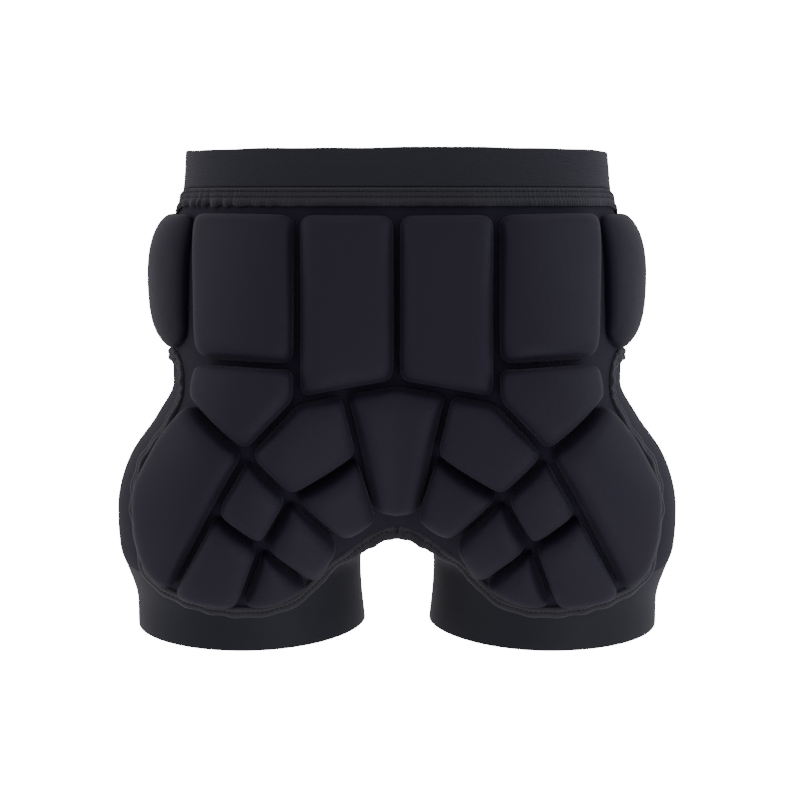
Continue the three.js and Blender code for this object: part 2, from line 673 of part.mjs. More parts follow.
function padTriangles(corners, shoulder, profile) {
  const edgeSteps = corners.map((corner, i) =>
    Math.max(Math.round(corner.distanceTo(corners[(i + 1) % corners.length]) / PAD_EDGE_STEP), 1));
  const ring = (inwards, lift) =>
    roundedOutline(inset(corners, inwards), PAD_CORNER, edgeSteps)
      .reverse()
      .map((p) => liftedPoint(p.x, p.y, lift));
  const base = CLOTH + SEAM_CLEARANCE;
  const rings = [ring(0, -SUNK)];
  for (const { inwards, rise } of profile) {
    rings.push(ring(inwards * shoulder, base + rise * PAD_THICKNESS));
  }
  const middle = centreOf(inset(corners, shoulder));
  const top = base + PAD_THICKNESS;
  if (Math.max(...corners.map((corner) => corner.distanceTo(middle))) > LARGE_PAD) {
    const innerRing = roundedOutline(inset(corners, shoulder), PAD_CORNER, edgeSteps)
      .reverse()
      .map((p) => p.lerp(middle, 0.5))
      .map((p) => liftedPoint(p.x, p.y, top));
    rings.push(innerRing);
  }
  return skinOf(rings, liftedPoint(middle.x, middle.y, -SUNK), liftedPoint(middle.x, middle.y, top));
}

function padSolid(triangles) {
  return solidOf(geometryOf(triangles)).subtract(clothTop);
}

function tailbonePad() {
  const right = TAILBONE_MARKS.map(markPoint);
  const left = right.slice(1).reverse().map((mark) => new THREE.Vector2(-mark.x, mark.y));
  const corners = inset([...right, ...left], GROOVE_WIDTH / 2);
  return padSolid(padTriangles(corners, PAD_SHOULDER, FLAT_TOPPED));
}

function rightPad({ marks, shoulder = PAD_SHOULDER, profile = FLAT_TOPPED }) {
  const corners = inset(marks.map(markPoint), GROOVE_WIDTH / 2);
  return padSolid(padTriangles(corners, shoulder, profile));
}

// Materials
function knit(color, roughness) {
  return new THREE.MeshStandardMaterial({ color, roughness, metalness: 0 });
}

const ribbedElastic = knit(0x26262e, 0.75);
const gatheredCloth = knit(0x212129, 0.85);
const panelCloth = knit(0x1d1d24, 0.85);
const coverCloth = knit(0x24242c, 0.7);
const bindingTape = knit(0x1a1a20, 0.8);
const legElastic = knit(0x24262d, 0.7);

const shorts = new THREE.Group();
const clothGroup = new THREE.Group();
const padGroup = new THREE.Group();
shorts.add(clothGroup, padGroup);

function addPiece(group, name, triangles, material) {
  const mesh = new THREE.Mesh(geometryOf(triangles), material);
  mesh.name = name;
  group.add(mesh);
}

function addPair(group, name, triangles, material) {
  addPiece(group, `${name}_right`, triangles, material);
  addPiece(group, `${name}_left`, mirrored(triangles), material);
}

addPiece(clothGroup, 'waistband', trianglesOf(waistband()), ribbedElastic);
addPiece(clothGroup, 'waist_seam', trianglesOf(waistSeam()), gatheredCloth);
addPiece(clothGroup, 'back_panel', trianglesOf(backPanel()), panelCloth);
addPiece(clothGroup, 'front_panel', trianglesOf(frontPanel()), panelCloth);
addPair(clothGroup, 'leg_band', trianglesOf(legBand()), legElastic);
addPair(clothGroup, 'edge_binding', trianglesOf(edgeBinding()), bindingTape);
for (const [name, pad] of Object.entries(PADS)) {
  addPair(padGroup, name, trianglesOf(rightPad(pad)), coverCloth);
}
addPiece(padGroup, 'tailbone_pad', trianglesOf(tailbonePad()), coverCloth);

export default shorts;
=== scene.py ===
"""Looks of the padded protection shorts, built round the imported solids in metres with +Z up."""
import json
import math

import bpy
import numpy as np
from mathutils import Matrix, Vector, geometry

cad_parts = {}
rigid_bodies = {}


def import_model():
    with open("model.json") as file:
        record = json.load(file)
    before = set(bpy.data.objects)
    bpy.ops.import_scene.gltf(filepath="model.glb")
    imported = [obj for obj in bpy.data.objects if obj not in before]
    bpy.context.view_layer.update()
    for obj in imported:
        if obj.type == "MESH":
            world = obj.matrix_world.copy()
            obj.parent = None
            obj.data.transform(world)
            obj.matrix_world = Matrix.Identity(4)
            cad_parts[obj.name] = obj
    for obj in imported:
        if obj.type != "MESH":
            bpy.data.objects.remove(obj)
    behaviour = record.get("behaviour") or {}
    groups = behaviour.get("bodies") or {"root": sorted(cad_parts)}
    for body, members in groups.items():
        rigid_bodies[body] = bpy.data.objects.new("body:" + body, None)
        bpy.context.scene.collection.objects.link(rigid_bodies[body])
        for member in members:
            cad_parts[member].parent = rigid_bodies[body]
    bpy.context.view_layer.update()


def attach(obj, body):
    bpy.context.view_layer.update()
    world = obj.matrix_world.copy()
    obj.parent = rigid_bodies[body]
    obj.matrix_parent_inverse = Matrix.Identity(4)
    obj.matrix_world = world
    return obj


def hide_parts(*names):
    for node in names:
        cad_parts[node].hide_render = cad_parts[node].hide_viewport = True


bl_info = {
    "name": "Padded protection shorts",
    "version": (1, 0, 0),
    "blender": (4, 5, 0),
    "location": "View3D > Sidebar > Shorts",
    "description": "Builds the cloth, foam pads, bindings and studio of a pair of padded shorts",
    "category": "Add Mesh",
}

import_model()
MM = 0.001

# Form of the garment in millimetres, with the same sizes and sections as the solids
GARMENT_LENGTH = 364
WAISTBAND_HEIGHT = 29
WAIST_SEAM_HEIGHT = 13
INSEAM = 71
LEG_BAND_HEIGHT = 32
WAIST_WIDTH = 314
HIP_WIDTH = 345
THIGH_SPAN = 431
CUFF_SPAN = 404
LEG_GAP = 56
CROTCH_ROUND = 20
WAIST_DEPTH = 203
SEAT_DEPTH = 132
BELLY_DEPTH = 118
CUFF_DEPTH = 177
CLOTH = 2
SEAM_CLEARANCE = 0.3
CROTCH_DROP = GARMENT_LENGTH - INSEAM
HEM_DROP = GARMENT_LENGTH - LEG_BAND_HEIGHT
PANEL_TOP = WAISTBAND_HEIGHT + WAIST_SEAM_HEIGHT
CLOTH_TOP = WAISTBAND_HEIGHT + SEAM_CLEARANCE
LEVEL_DROPS = [0, PANEL_TOP, CROTCH_DROP, HEM_DROP, GARMENT_LENGTH]
WAISTBAND_FOOT = WAISTBAND_HEIGHT / PANEL_TOP
SECTION_STEPS = 64
CHART_STEP = 1.5
CHART_BATCH = 4000


def drop_at(level):
    """Distance down the garment of a level.

    0 is the rim, 1 the foot of the waist seam, 2 the crotch, 3 the top of the leg bands at the side, and
    4 their foot.
    """
    below = min(int(level), len(LEVEL_DROPS) - 2)
    return LEVEL_DROPS[below] + (LEVEL_DROPS[below + 1] - LEVEL_DROPS[below]) * (level - below)


def cleft(share):
    """Inner reach of a section above the crotch."""
    return CROTCH_ROUND - share * CROTCH_DROP


def between(share):
    """Inner reach of a section of one leg."""
    return math.hypot(CROTCH_ROUND, share * LEG_GAP)


# Level sections of the form: the level, half the width, the pole's share of it, how far in the section
# reaches behind and in front, and its depth behind and in front
SECTION_COLUMNS = ("half", "pole", "inner", "inner_front", "back", "front")
SECTIONS = [
    (0, 0.500 * WAIST_WIDTH, 0.283, cleft(0.955), cleft(1),
     0.507 * WAIST_DEPTH, 0.493 * WAIST_DEPTH),
    (WAISTBAND_FOOT, 0.509 * WAIST_WIDTH, 0.302, cleft(0.887), cleft(1),
     0.527 * WAIST_DEPTH, 0.507 * WAIST_DEPTH),
    (1.124, 0.497 * HIP_WIDTH, 0.344, cleft(0.750), cleft(1),
     0.871 * SEAT_DEPTH, 0.932 * BELLY_DEPTH),
    (1.269, 0.500 * HIP_WIDTH, 0.410, cleft(0.614), cleft(0.98),
     0.924 * SEAT_DEPTH, 0.966 * BELLY_DEPTH),
    (1.427, 0.493 * HIP_WIDTH, 0.497, cleft(0.478), cleft(0.93),
     0.977 * SEAT_DEPTH, 0.992 * BELLY_DEPTH),
    (1.514, 0.491 * HIP_WIDTH, 0.551, cleft(0.409), cleft(0.87),
     1.000 * SEAT_DEPTH, 1.000 * BELLY_DEPTH),
    (1.627, 0.425 * THIGH_SPAN, 0.557, cleft(0.312), cleft(0.7),
     1.000 * SEAT_DEPTH, 1.000 * BELLY_DEPTH),
    (1.749, 0.474 * THIGH_SPAN, 0.529, cleft(0.210), cleft(0.48),
     0.970 * SEAT_DEPTH, 0.983 * BELLY_DEPTH),
    (1.867, 0.497 * THIGH_SPAN, 0.523, cleft(0.114), cleft(0.28),
     0.917 * SEAT_DEPTH, 0.958 * BELLY_DEPTH),
    (1.964, 0.500 * THIGH_SPAN, 0.529, cleft(0.031), cleft(0.09),
     0.848 * SEAT_DEPTH, 0.915 * BELLY_DEPTH),
    (2, 0.499 * THIGH_SPAN, 0.533, cleft(0), cleft(0),
     0.822 * SEAT_DEPTH, 0.895 * BELLY_DEPTH),
    (2.231, 0.497 * THIGH_SPAN, 0.540, between(0.430), between(0.430),
     0.795 * SEAT_DEPTH, 0.873 * BELLY_DEPTH),
    (2.637, 0.484 * THIGH_SPAN, 0.560, between(0.550), between(0.550),
     0.554 * CUFF_DEPTH, 0.554 * CUFF_DEPTH),
    (3.094, 0.503 * CUFF_SPAN, 0.573, between(0.540), between(0.540),
     0.520 * CUFF_DEPTH, 0.525 * CUFF_DEPTH),
    (4, 0.500 * CUFF_SPAN, 0.569, between(0.490), between(0.490),
     0.497 * CUFF_DEPTH, 0.503 * CUFF_DEPTH),
]
SECTION_DROPS = np.array([drop_at(row[0]) for row in SECTIONS])


def slopes_of(values):
    """Slopes of a smooth curve through a column of the table, flat where the column turns."""
    rises = np.diff(values) / np.diff(SECTION_DROPS)
    slopes = np.zeros(len(values))
    slopes[0], slopes[-1] = rises[0], rises[-1]
    for row in range(1, len(values) - 1):
        above, under = np.diff(SECTION_DROPS)[row - 1:row + 1]
        if rises[row - 1] * rises[row] > 0:
            slopes[row] = (rises[row - 1] * under + rises[row] * above) / (above + under)
    return slopes


SIZES = {
    name: (np.array([row[i + 1] for row in SECTIONS], float),
           slopes_of(np.array([row[i + 1] for row in SECTIONS], float)))
    for i, name in enumerate(SECTION_COLUMNS)
}


def size_at(name, drop):
    """One column of the table at a drop."""
    values, slopes = SIZES[name]
    row = int(np.clip(np.searchsorted(SECTION_DROPS, drop, side="left") - 1, 0, len(values) - 2))
    span = SECTION_DROPS[row + 1] - SECTION_DROPS[row]
    t = (drop - SECTION_DROPS[row]) / span
    return (values[row] * (2 * t**3 - 3 * t**2 + 1) + slopes[row] * span * (t**3 - 2 * t**2 + t)
            + values[row + 1] * (3 * t**2 - 2 * t**3) + slopes[row + 1] * span * (t**3 - t**2))


def half_section(drop, inside_steps, outside_steps):
    """Half a level section, from the middle of the back round the wearer's right to the front."""
    half, pole, inner, inner_front, back, front = (size_at(name, drop) for name in SECTION_COLUMNS)
    pole *= half
    if drop >= CROTCH_DROP:
        inner_front = inner
    inner_x = math.sqrt(max(inner * abs(inner) - CROTCH_ROUND**2, 0))
    pole_x = math.sqrt(max(pole**2 - CROTCH_ROUND**2, 1))
    turn = np.arange(inside_steps + 1) / inside_steps * math.pi / 2
    x = inner_x + (pole_x - inner_x) * (1 - np.cos(turn))

    def depth(size, reach):
        share = (pole - np.hypot(x, CROTCH_ROUND)) / (pole - reach)
        return size * np.sqrt(np.maximum(1 - share**2, 0))

    turn = np.arange(outside_steps + 1) / outside_steps * math.pi / 2
    outer_x = pole_x + (half - pole_x) * np.sin(turn)
    points = [
        np.column_stack([x, -depth(back, inner)])[:-1],
        np.column_stack([outer_x, -back * np.cos(turn)])[:-1],
        np.column_stack([outer_x, front * np.cos(turn)])[:0:-1],
        np.column_stack([x, depth(front, inner_front)])[::-1],
    ]
    return np.vstack(points)


def unit(vectors):
    """Vectors of the same directions, with a length of 1."""
    return vectors / np.linalg.norm(vectors, axis=-1, keepdims=True)


def distances(points):
    """Distance of each point along its polyline."""
    return np.concatenate([[0], np.cumsum(np.linalg.norm(np.diff(points, axis=0), axis=1))])


def sampled(points, run, at):
    """Places on a polyline at some distances along it."""
    return np.column_stack([np.interp(at, run, column) for column in points.T])


class Form:
    """Chart of the form, in millimetres: a place on it is given by its distance across and its drop.

    Across runs from the middle of the back round the wearer's right to the front, and is negative on the
    wearer's left.
    """

    def __init__(self):
        sections = [half_section(drop, SECTION_STEPS, SECTION_STEPS) for drop in range(GARMENT_LENGTH + 1)]
        charts = []
        for points in sections:
            steps = np.linalg.norm(np.diff(points, axis=0), axis=1)
            steps[:SECTION_STEPS] = np.diff(points[:SECTION_STEPS + 1, 0])
            charts.append(points[0, 0] + np.concatenate([[0], np.cumsum(steps)]))
        self.start = np.array([chart[0] for chart in charts])
        self.side = np.array([chart[2 * SECTION_STEPS] for chart in charts])
        self.end = np.array([chart[-1] for chart in charts])
        self.across = np.arange(0, self.end.max() + 2)
        self.x = np.array([np.interp(self.across, c, p[:, 0]) for c, p in zip(charts, sections)])
        self.y = np.array([np.interp(self.across, c, p[:, 1]) for c, p in zip(charts, sections)])

    def along(self, column, drop):
        """A column of the chart, such as where its sections start, at a drop."""
        return np.interp(drop, np.arange(GARMENT_LENGTH + 1), column)

    def point(self, across, drop):
        """Places on the form."""
        across, drop = np.broadcast_arrays(np.asarray(across, float), np.asarray(drop, float))
        down = np.clip(drop, 0, GARMENT_LENGTH)
        reach = np.clip(np.abs(across), self.along(self.start, down), self.along(self.end, down))
        i = np.minimum(down.astype(int), GARMENT_LENGTH - 1)
        j = np.minimum(reach.astype(int), len(self.across) - 2)
        t, s = down - i, reach - j
        flat = [
            (1 - t) * ((1 - s) * table[i, j] + s * table[i, j + 1])
            + t * ((1 - s) * table[i + 1, j] + s * table[i + 1, j + 1])
            for table in (self.x, self.y)
        ]
        side = np.where(across < 0, -1, 1)
        return np.stack([side * flat[0], flat[1], WAISTBAND_HEIGHT / 2 - drop], axis=-1)

    def normal(self, across, drop):
        """Directions straight out of the form."""
        across, drop = np.broadcast_arrays(np.asarray(across, float), np.asarray(drop, float))
        side = np.where(across < 0, -1, 1)
        start = self.along(self.start, drop)
        middle = np.where(start > 0, side * np.maximum(np.abs(across), start + CHART_STEP), across)
        along = self.point(middle + CHART_STEP, drop) - self.point(middle - CHART_STEP, drop)
        down = (self.point(middle, np.minimum(drop + CHART_STEP, GARMENT_LENGTH))
                - self.point(middle, np.maximum(drop - CHART_STEP, 0)))
        return unit(np.cross(down, along))

    def lifted(self, across, drop, lift):
        """Places above the form."""
        return self.point(across, drop) + self.normal(across, drop) * np.asarray(lift, float)[..., None]

    def chart_of(self, points):
        """Across and drop of points near the form."""
        drop = np.clip(WAISTBAND_HEIGHT / 2 - points[:, 2], 0, GARMENT_LENGTH)
        across = np.empty(len(points))
        for part in np.array_split(np.arange(len(points)), max(len(points) // CHART_BATCH, 1)):
            row = np.round(drop[part]).astype(int)
            aside = self.x[row] - np.abs(points[part, 0])[:, None]
            gap = np.hypot(aside, self.y[row] - points[part, 1][:, None])
            across[part] = self.across[np.argmin(gap, axis=1)]
        return np.where(points[:, 0] < 0, -across, across), drop


FORM = Form()


def mark_point(mark):
    """Chart place of a mark, which is [share of the way to the side line, level]."""
    drop = drop_at(mark[1])
    return np.array([mark[0] * FORM.along(FORM.side, drop), drop])


SHARPEST_CORNER = 0.5


def inset(corners, distance):
    """Moves each edge of an outline inwards by a distance."""
    ahead = np.roll(corners, -1, axis=0)
    area = np.sum(corners[:, 0] * ahead[:, 1] - ahead[:, 0] * corners[:, 1])
    edge = unit(ahead - corners)
    after = np.column_stack([-edge[:, 1], edge[:, 0]]) * math.copysign(1, area)
    before = np.roll(after, 1, axis=0)
    middle = unit(before + after)
    lean = np.maximum(np.sum(middle * before, axis=1), SHARPEST_CORNER)
    return corners + middle * (distance / lean)[:, None]


def spline(points, count):
    """Points evenly along the parameter of a smooth curve through the given ones."""
    points = np.asarray(points, float)
    t = np.linspace(0, len(points) - 1, count)
    i = np.minimum(t.astype(int), len(points) - 2)
    w = (t - i)[:, None]
    p0, p1 = points[np.maximum(i - 1, 0)], points[i]
    p2, p3 = points[i + 1], points[np.minimum(i + 2, len(points) - 1)]
    v0, v1 = (p2 - p0) / 2, (p3 - p1) / 2
    return ((2 * p1 - 2 * p2 + v0 + v1) * w**3 + (-3 * p1 + 3 * p2 - 2 * v0 - v1) * w**2 + v0 * w + p1)


def even_steps(points, step):
    """Points at an even distance along a polyline."""
    run = distances(points)
    return sampled(points, run, np.linspace(0, run[-1], max(int(round(run[-1] / step)), 1) + 1))


# Edge of the padded panel: its hem, as [share of half the thigh span, level], and its side seam,
# as [share of the seat depth, level]
HEM_MARKS = [
    (0, 1.935), (0.07, 1.95), (0.144, 1.99), (0.224, 2.212), (0.303, 2.643), (0.356, 2.87),
    (0.436, 2.997), (0.531, 3.01), (0.639, 2.946), (0.73, 2.816), (0.812, 2.629), (0.852, 2.464),
]
SEAM_TOP = 0.45
SIDE_SEAM_MARKS = [
    (SEAM_TOP, 0), (SEAM_TOP, 1), (SEAM_TOP, 1.28), (0.36, 1.396), (0, 1.437), (-0.42, 1.427),
    (-0.57, 1.463), (-0.605, 1.524), (-0.61, 1.632), (-0.56, 1.725), (-0.575, 1.849), (-0.58, 1.948),
    (-0.56, 2.118),
]
HEM_POINTS = 120
SEAM_POINTS = 140


def across_at_width(x, drop):
    """Distance across of a place at a width, on the back."""
    row = int(round(drop))
    side = int(FORM.side[row])
    return float(np.interp(x, FORM.x[row, :side], FORM.across[:side]))


def across_at_depth(y, drop):
    """Distance across of a place at a depth, on the outside."""
    row = int(round(drop))
    fullest = int(np.argmin(FORM.y[row]))
    return float(np.interp(y, FORM.y[row, fullest:], FORM.across[fullest:]))


HEM_CURVE = spline([(share * THIGH_SPAN / 2, drop_at(level)) for share, level in HEM_MARKS], HEM_POINTS)
HEM_END = HEM_CURVE[-1]
SEAM_FOOT = (float(FORM.point(across_at_width(*HEM_END), HEM_END[1])[1]), HEM_END[1])
SIDE_SEAM_CURVE = spline(
    [(share * SEAT_DEPTH, drop_at(level)) for share, level in SIDE_SEAM_MARKS] + [SEAM_FOOT],
    SEAM_POINTS)

# Marks of the pads' outlines, as [share of the way from the middle of the back to the side line, level]
TOP_MIDDLE = (0, 1.012)
TOP_INNER = (0.301, 1.012)
TOP_OUTER = (0.655, 1.012)
BACK_FOOT_MIDDLE = (0, 1.473)
BACK_FOOT_OUTER = (0.267, 1.518)
BACK_FOOT_INNER = (0.144, 1.495)
TAILBONE_SIDE = (0.103, 1.664)
TAILBONE_FOOT = (0.075, 1.846)
HIP_TOP_INNER = (0.271, 1.428)
HIP_TOP_OUTER = (0.551, 1.424)
HIP_FOOT_OUTER = (0.549, 1.533)
FAN_TOP = (0.375, 1.663)
FAN_INNER = (0.264, 1.784)
FAN_FOOT = (0.34, 1.928)
FAN_OUTER = (0.44, 1.828)
HEM_AT_CROTCH = (0.057, 1.854)
HEM_INNER = (0.155, 1.925)
HEM_MIDDLE = (0.241, 2.415)
HEM_OUTER = (0.44, 2.846)
HEM_LOW = (0.344, 2.807)
OUTER_LOW = (0.555, 2.735)
HEM_AT_THIGH = (0.606, 2.571)
SIDE_MARKS = [(0.7, 1.012), (1.22, 1.012), (1.17, 1.355), (0.74, 1.416), (0.645, 1.371)]
THIGH_EDGE = [(0.612, 1.637), (0.668, 1.785), (0.668, 1.923), (0.662, 2.2), (0.632, 2.44)]
PADS = {
    "back_pad_inner": [
        TOP_MIDDLE, TOP_INNER, HIP_TOP_INNER, BACK_FOOT_OUTER, BACK_FOOT_INNER, BACK_FOOT_MIDDLE],
    "back_pad_outer": [TOP_INNER, TOP_OUTER, HIP_TOP_OUTER, HIP_TOP_INNER],
    "side_pad": SIDE_MARKS,
    "hip_pad": [HIP_TOP_INNER, HIP_TOP_OUTER, HIP_FOOT_OUTER, FAN_TOP, BACK_FOOT_OUTER],
    "thigh_pad": [HIP_FOOT_OUTER, *THIGH_EDGE, HEM_AT_THIGH, FAN_OUTER, FAN_TOP],
    "seat_pad_upper": [BACK_FOOT_INNER, BACK_FOOT_OUTER, FAN_TOP, FAN_INNER, TAILBONE_SIDE],
    "seat_pad_inner": [TAILBONE_SIDE, FAN_INNER, HEM_INNER, HEM_AT_CROTCH],
    "seat_pad_middle": [FAN_TOP, FAN_OUTER, FAN_FOOT, FAN_INNER],
    "seat_pad_lower": [FAN_INNER, FAN_FOOT, HEM_MIDDLE, HEM_INNER],
    "seat_pad_outer": [FAN_OUTER, HEM_AT_THIGH, OUTER_LOW, HEM_OUTER, FAN_FOOT],
    "seat_pad_hem": [FAN_FOOT, HEM_OUTER, HEM_LOW, HEM_MIDDLE],
    "tailbone_pad": [BACK_FOOT_MIDDLE, BACK_FOOT_INNER, TAILBONE_SIDE, TAILBONE_FOOT],
}
MIDDLE_PAD = "tailbone_pad"


def length(name, default, description):
    return bpy.props.FloatProperty(
        name=name, default=default, min=0, unit="LENGTH", precision=5, description=description)


def colour(name, default, description):
    return bpy.props.FloatVectorProperty(
        name=name, default=default, size=3, min=0, max=1, subtype="COLOR", description=description)


class ShortsSizes(bpy.types.PropertyGroup):
    """Sizes of the shorts that a user would change."""
    waistband_wall: length("Waistband wall", 0.003, "Thickness of the waistband")
    rib_count: bpy.props.IntProperty(
        name="Ribs", default=21, min=1, description="Ribs over the height of the waistband")
    rib_depth: length("Rib depth", 0.00028, "Depth of the waistband's ribs")
    ruffle_pitch: length("Ruffle pitch", 0.0125, "Distance between the gathers of the waist seam")
    ruffle_depth: length("Ruffle depth", 0.0016, "Depth of the gathers of the waist seam")
    pad_thickness: length("Pad thickness", 0.0195, "Thickness of the foam pads")
    side_thickness: length("Side pad thickness", 0.0170, "Thickness of the side pads")
    pad_groove: length("Groove", 0.0045, "Width of the groove between two pads")
    pad_corner: length("Pad corner", 0.0058, "Radius of the pads' corners")
    pad_wall: bpy.props.FloatProperty(
        name="Pad wall", default=0.22, min=0, max=1,
        description="Share of a pad's thickness that its wall takes")
    pad_shoulder: length("Pad shoulder", 0.0085, "How softly a pad rounds over into its top")
    side_shoulder: length("Side pad shoulder", 0.034, "How softly a side pad rounds over")
    pad_swell: length("Pad swell", 0.0016, "Most that the simulation may move a pad's surface")
    binding_width: length("Binding width", 0.0088, "Width of the binding tape")
    binding_thickness: length("Binding thickness", 0.0023, "Thickness of the binding tape")
    stitch_length: length("Stitch length", 0.0026, "Length of one stitch")
    stitch_thickness: length("Stitch thickness", 0.00042, "Thickness of the thread")


class ShortsColours(bpy.types.PropertyGroup):
    """Colours of the shorts and the studio."""
    waistband: colour("Waistband", (0.0212, 0.0220, 0.0305), "Ribbed elastic of the waistband")
    cover: colour("Pad covers", (0.0152, 0.0108, 0.0262), "Cloth over the foam pads")
    # Painted shade: the dark tone given to the pad covers low in the grooves between the pads
    groove: colour("Grooves", (0.0042, 0.0018, 0.0140), "Deep tone of the covers down in the grooves")
    panel: colour("Panels", (0.0120, 0.0088, 0.0235), "Cloth of the panels")
    seam: colour("Waist seam", (0.036, 0.035, 0.044), "Gathered cloth of the waist seam")
    binding: colour("Binding", (0.040, 0.038, 0.047), "Binding tape")
    cuff: colour("Leg bands", (0.0115, 0.0118, 0.0200), "Elastic of the leg bands")
    thread: colour("Thread", (0.012, 0.012, 0.015), "Thread of the stitches")
    floor: colour("Floor", (0.9, 0.9, 0.9), "Studio floor")


def sizes():
    return bpy.context.scene.shorts_sizes


def colours():
    return bpy.context.scene.shorts_colours


def mm(value):
    """A size that the user sets, in millimetres."""
    return value / MM


def deselect():
    if bpy.context.object and bpy.context.object.mode != "OBJECT":
        bpy.ops.object.mode_set(mode="OBJECT")
    bpy.ops.object.select_all(action="DESELECT")


def activate(*pieces):
    deselect()
    for piece in pieces:
        piece.select_set(True)
    bpy.context.view_layer.objects.active = pieces[0]


WELD = 0.002 * MM


def in_edit_mode(piece, *steps):
    """Runs edit-mode operators on the whole piece."""
    activate(piece)
    bpy.ops.object.mode_set(mode="EDIT")
    bpy.ops.mesh.select_all(action="SELECT")
    for step in steps:
        step()
    bpy.ops.object.mode_set(mode="OBJECT")


def weld():
    bpy.ops.mesh.remove_doubles(threshold=WELD)


def face_outwards():
    bpy.ops.mesh.normals_make_consistent(inside=False)


def mesh_points(mesh):
    flat = np.empty(len(mesh.vertices) * 3)
    mesh.vertices.foreach_get("co", flat)
    return flat.reshape(-1, 3)


def points_of(piece):
    return mesh_points(piece.data)


def set_points(piece, points):
    piece.data.vertices.foreach_set("co", np.asarray(points, float).ravel())
    piece.data.update()


def set_uv(piece, uv):
    """A UV map in metres of cloth, from one place for each vertex."""
    layer = piece.data.uv_layers.active or piece.data.uv_layers.new(name="cloth")
    corners = np.empty(len(piece.data.loops), int)
    piece.data.loops.foreach_get("vertex_index", corners)
    layer.data.foreach_set("uv", np.asarray(uv, float)[corners].ravel())


def map_cloth(piece):
    """Lays the UV map of a piece by its place on the form."""
    across, drop = FORM.chart_of(points_of(piece) / MM)
    set_uv(piece, np.column_stack([across, -drop]) * MM)


def grid(name, columns, rows, lay):
    """A grid primitive laid by a function of the share along and the share up, in millimetres."""
    deselect()
    bpy.ops.mesh.primitive_grid_add(x_subdivisions=columns, y_subdivisions=rows, size=1)
    piece = bpy.context.object
    piece.name = piece.data.name = name
    square = points_of(piece)[:, :2] + 0.5
    places, uv = lay(*np.round(square * (columns, rows)).astype(int).T)
    set_points(piece, places * MM)
    set_uv(piece, uv * MM)
    return piece


def mesh_piece(name, points, faces, uv):
    """A piece from points in millimetres and faces."""
    mesh = bpy.data.meshes.new(name)
    mesh.from_pydata((points * MM).tolist(), [], faces)
    piece = bpy.data.objects.new(name, mesh)
    bpy.context.scene.collection.objects.link(piece)
    set_uv(piece, uv * MM)
    return piece


def apply_modifier(piece, kind, **settings):
    activate(piece)
    modifier = piece.modifiers.new(kind.title(), kind)
    for name, value in settings.items():
        setattr(modifier, name, value)
    bpy.ops.object.modifier_apply(modifier=modifier.name)


def smooth(piece, degrees):
    activate(piece)
    bpy.ops.object.shade_smooth_by_angle(angle=math.radians(degrees))


def finish_piece(piece, material, slot, *nodes):
    """Gives a piece its material and body, and hides the CAD nodes that it stands for. The slot is not used.
    """
    piece.data.materials.clear()
    piece.data.materials.append(material)
    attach(piece, "root")
    if nodes:
        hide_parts(*nodes)
    return piece


def own_copy(piece, name):
    """A copy of a piece, with its own mesh."""
    copy = piece.copy()
    copy.data = piece.data.copy()
    copy.name = copy.data.name = name
    bpy.context.scene.collection.objects.link(copy)
    return copy


def mirrored_copy(piece, name):
    """The wearer's left piece."""
    copy = own_copy(piece, name)
    set_points(copy, points_of(copy) * (-1, 1, 1))
    copy.data.flip_normals()
    return copy


class Value:
    """A shader value, which adds its Math nodes as Python works on it."""

    def __init__(self, tree, socket):
        self.tree = tree
        self.socket = socket

    def math(self, operation, *others):
        node = self.tree.nodes.new("ShaderNodeMath")
        node.operation = operation
        for place, item in enumerate((self, *others)):
            if isinstance(item, Value):
                self.tree.links.new(item.socket, node.inputs[place])
            else:
                node.inputs[place].default_value = item
        return Value(self.tree, node.outputs[0])

    def __add__(self, other):
        return self.math("ADD", other)

    def __mul__(self, other):
        return self.math("MULTIPLY", other)

    def __sub__(self, other):
        return self.math("SUBTRACT", other)

    def __rsub__(self, other):
        return self.math("MULTIPLY", -1).math("ADD", other)

    __radd__ = __add__
    __rmul__ = __mul__

    def sine(self):
        return self.math("SINE")

    def clamped(self):
        return self.math("MAXIMUM", 0).math("MINIMUM", 1)


# Bloom of the cloth, which all of its finishes share
SHEEN_ROUGHNESS = 0.45
SHEEN_TINT = (0.88, 0.82, 1, 1)
SPECULAR_LEVEL = 0.3

# Places of the two colours among a Mix node's inputs, and of the mixed one among its outputs
MIX_FROM = 6
MIX_TO = 7
MIX_RESULT = 2


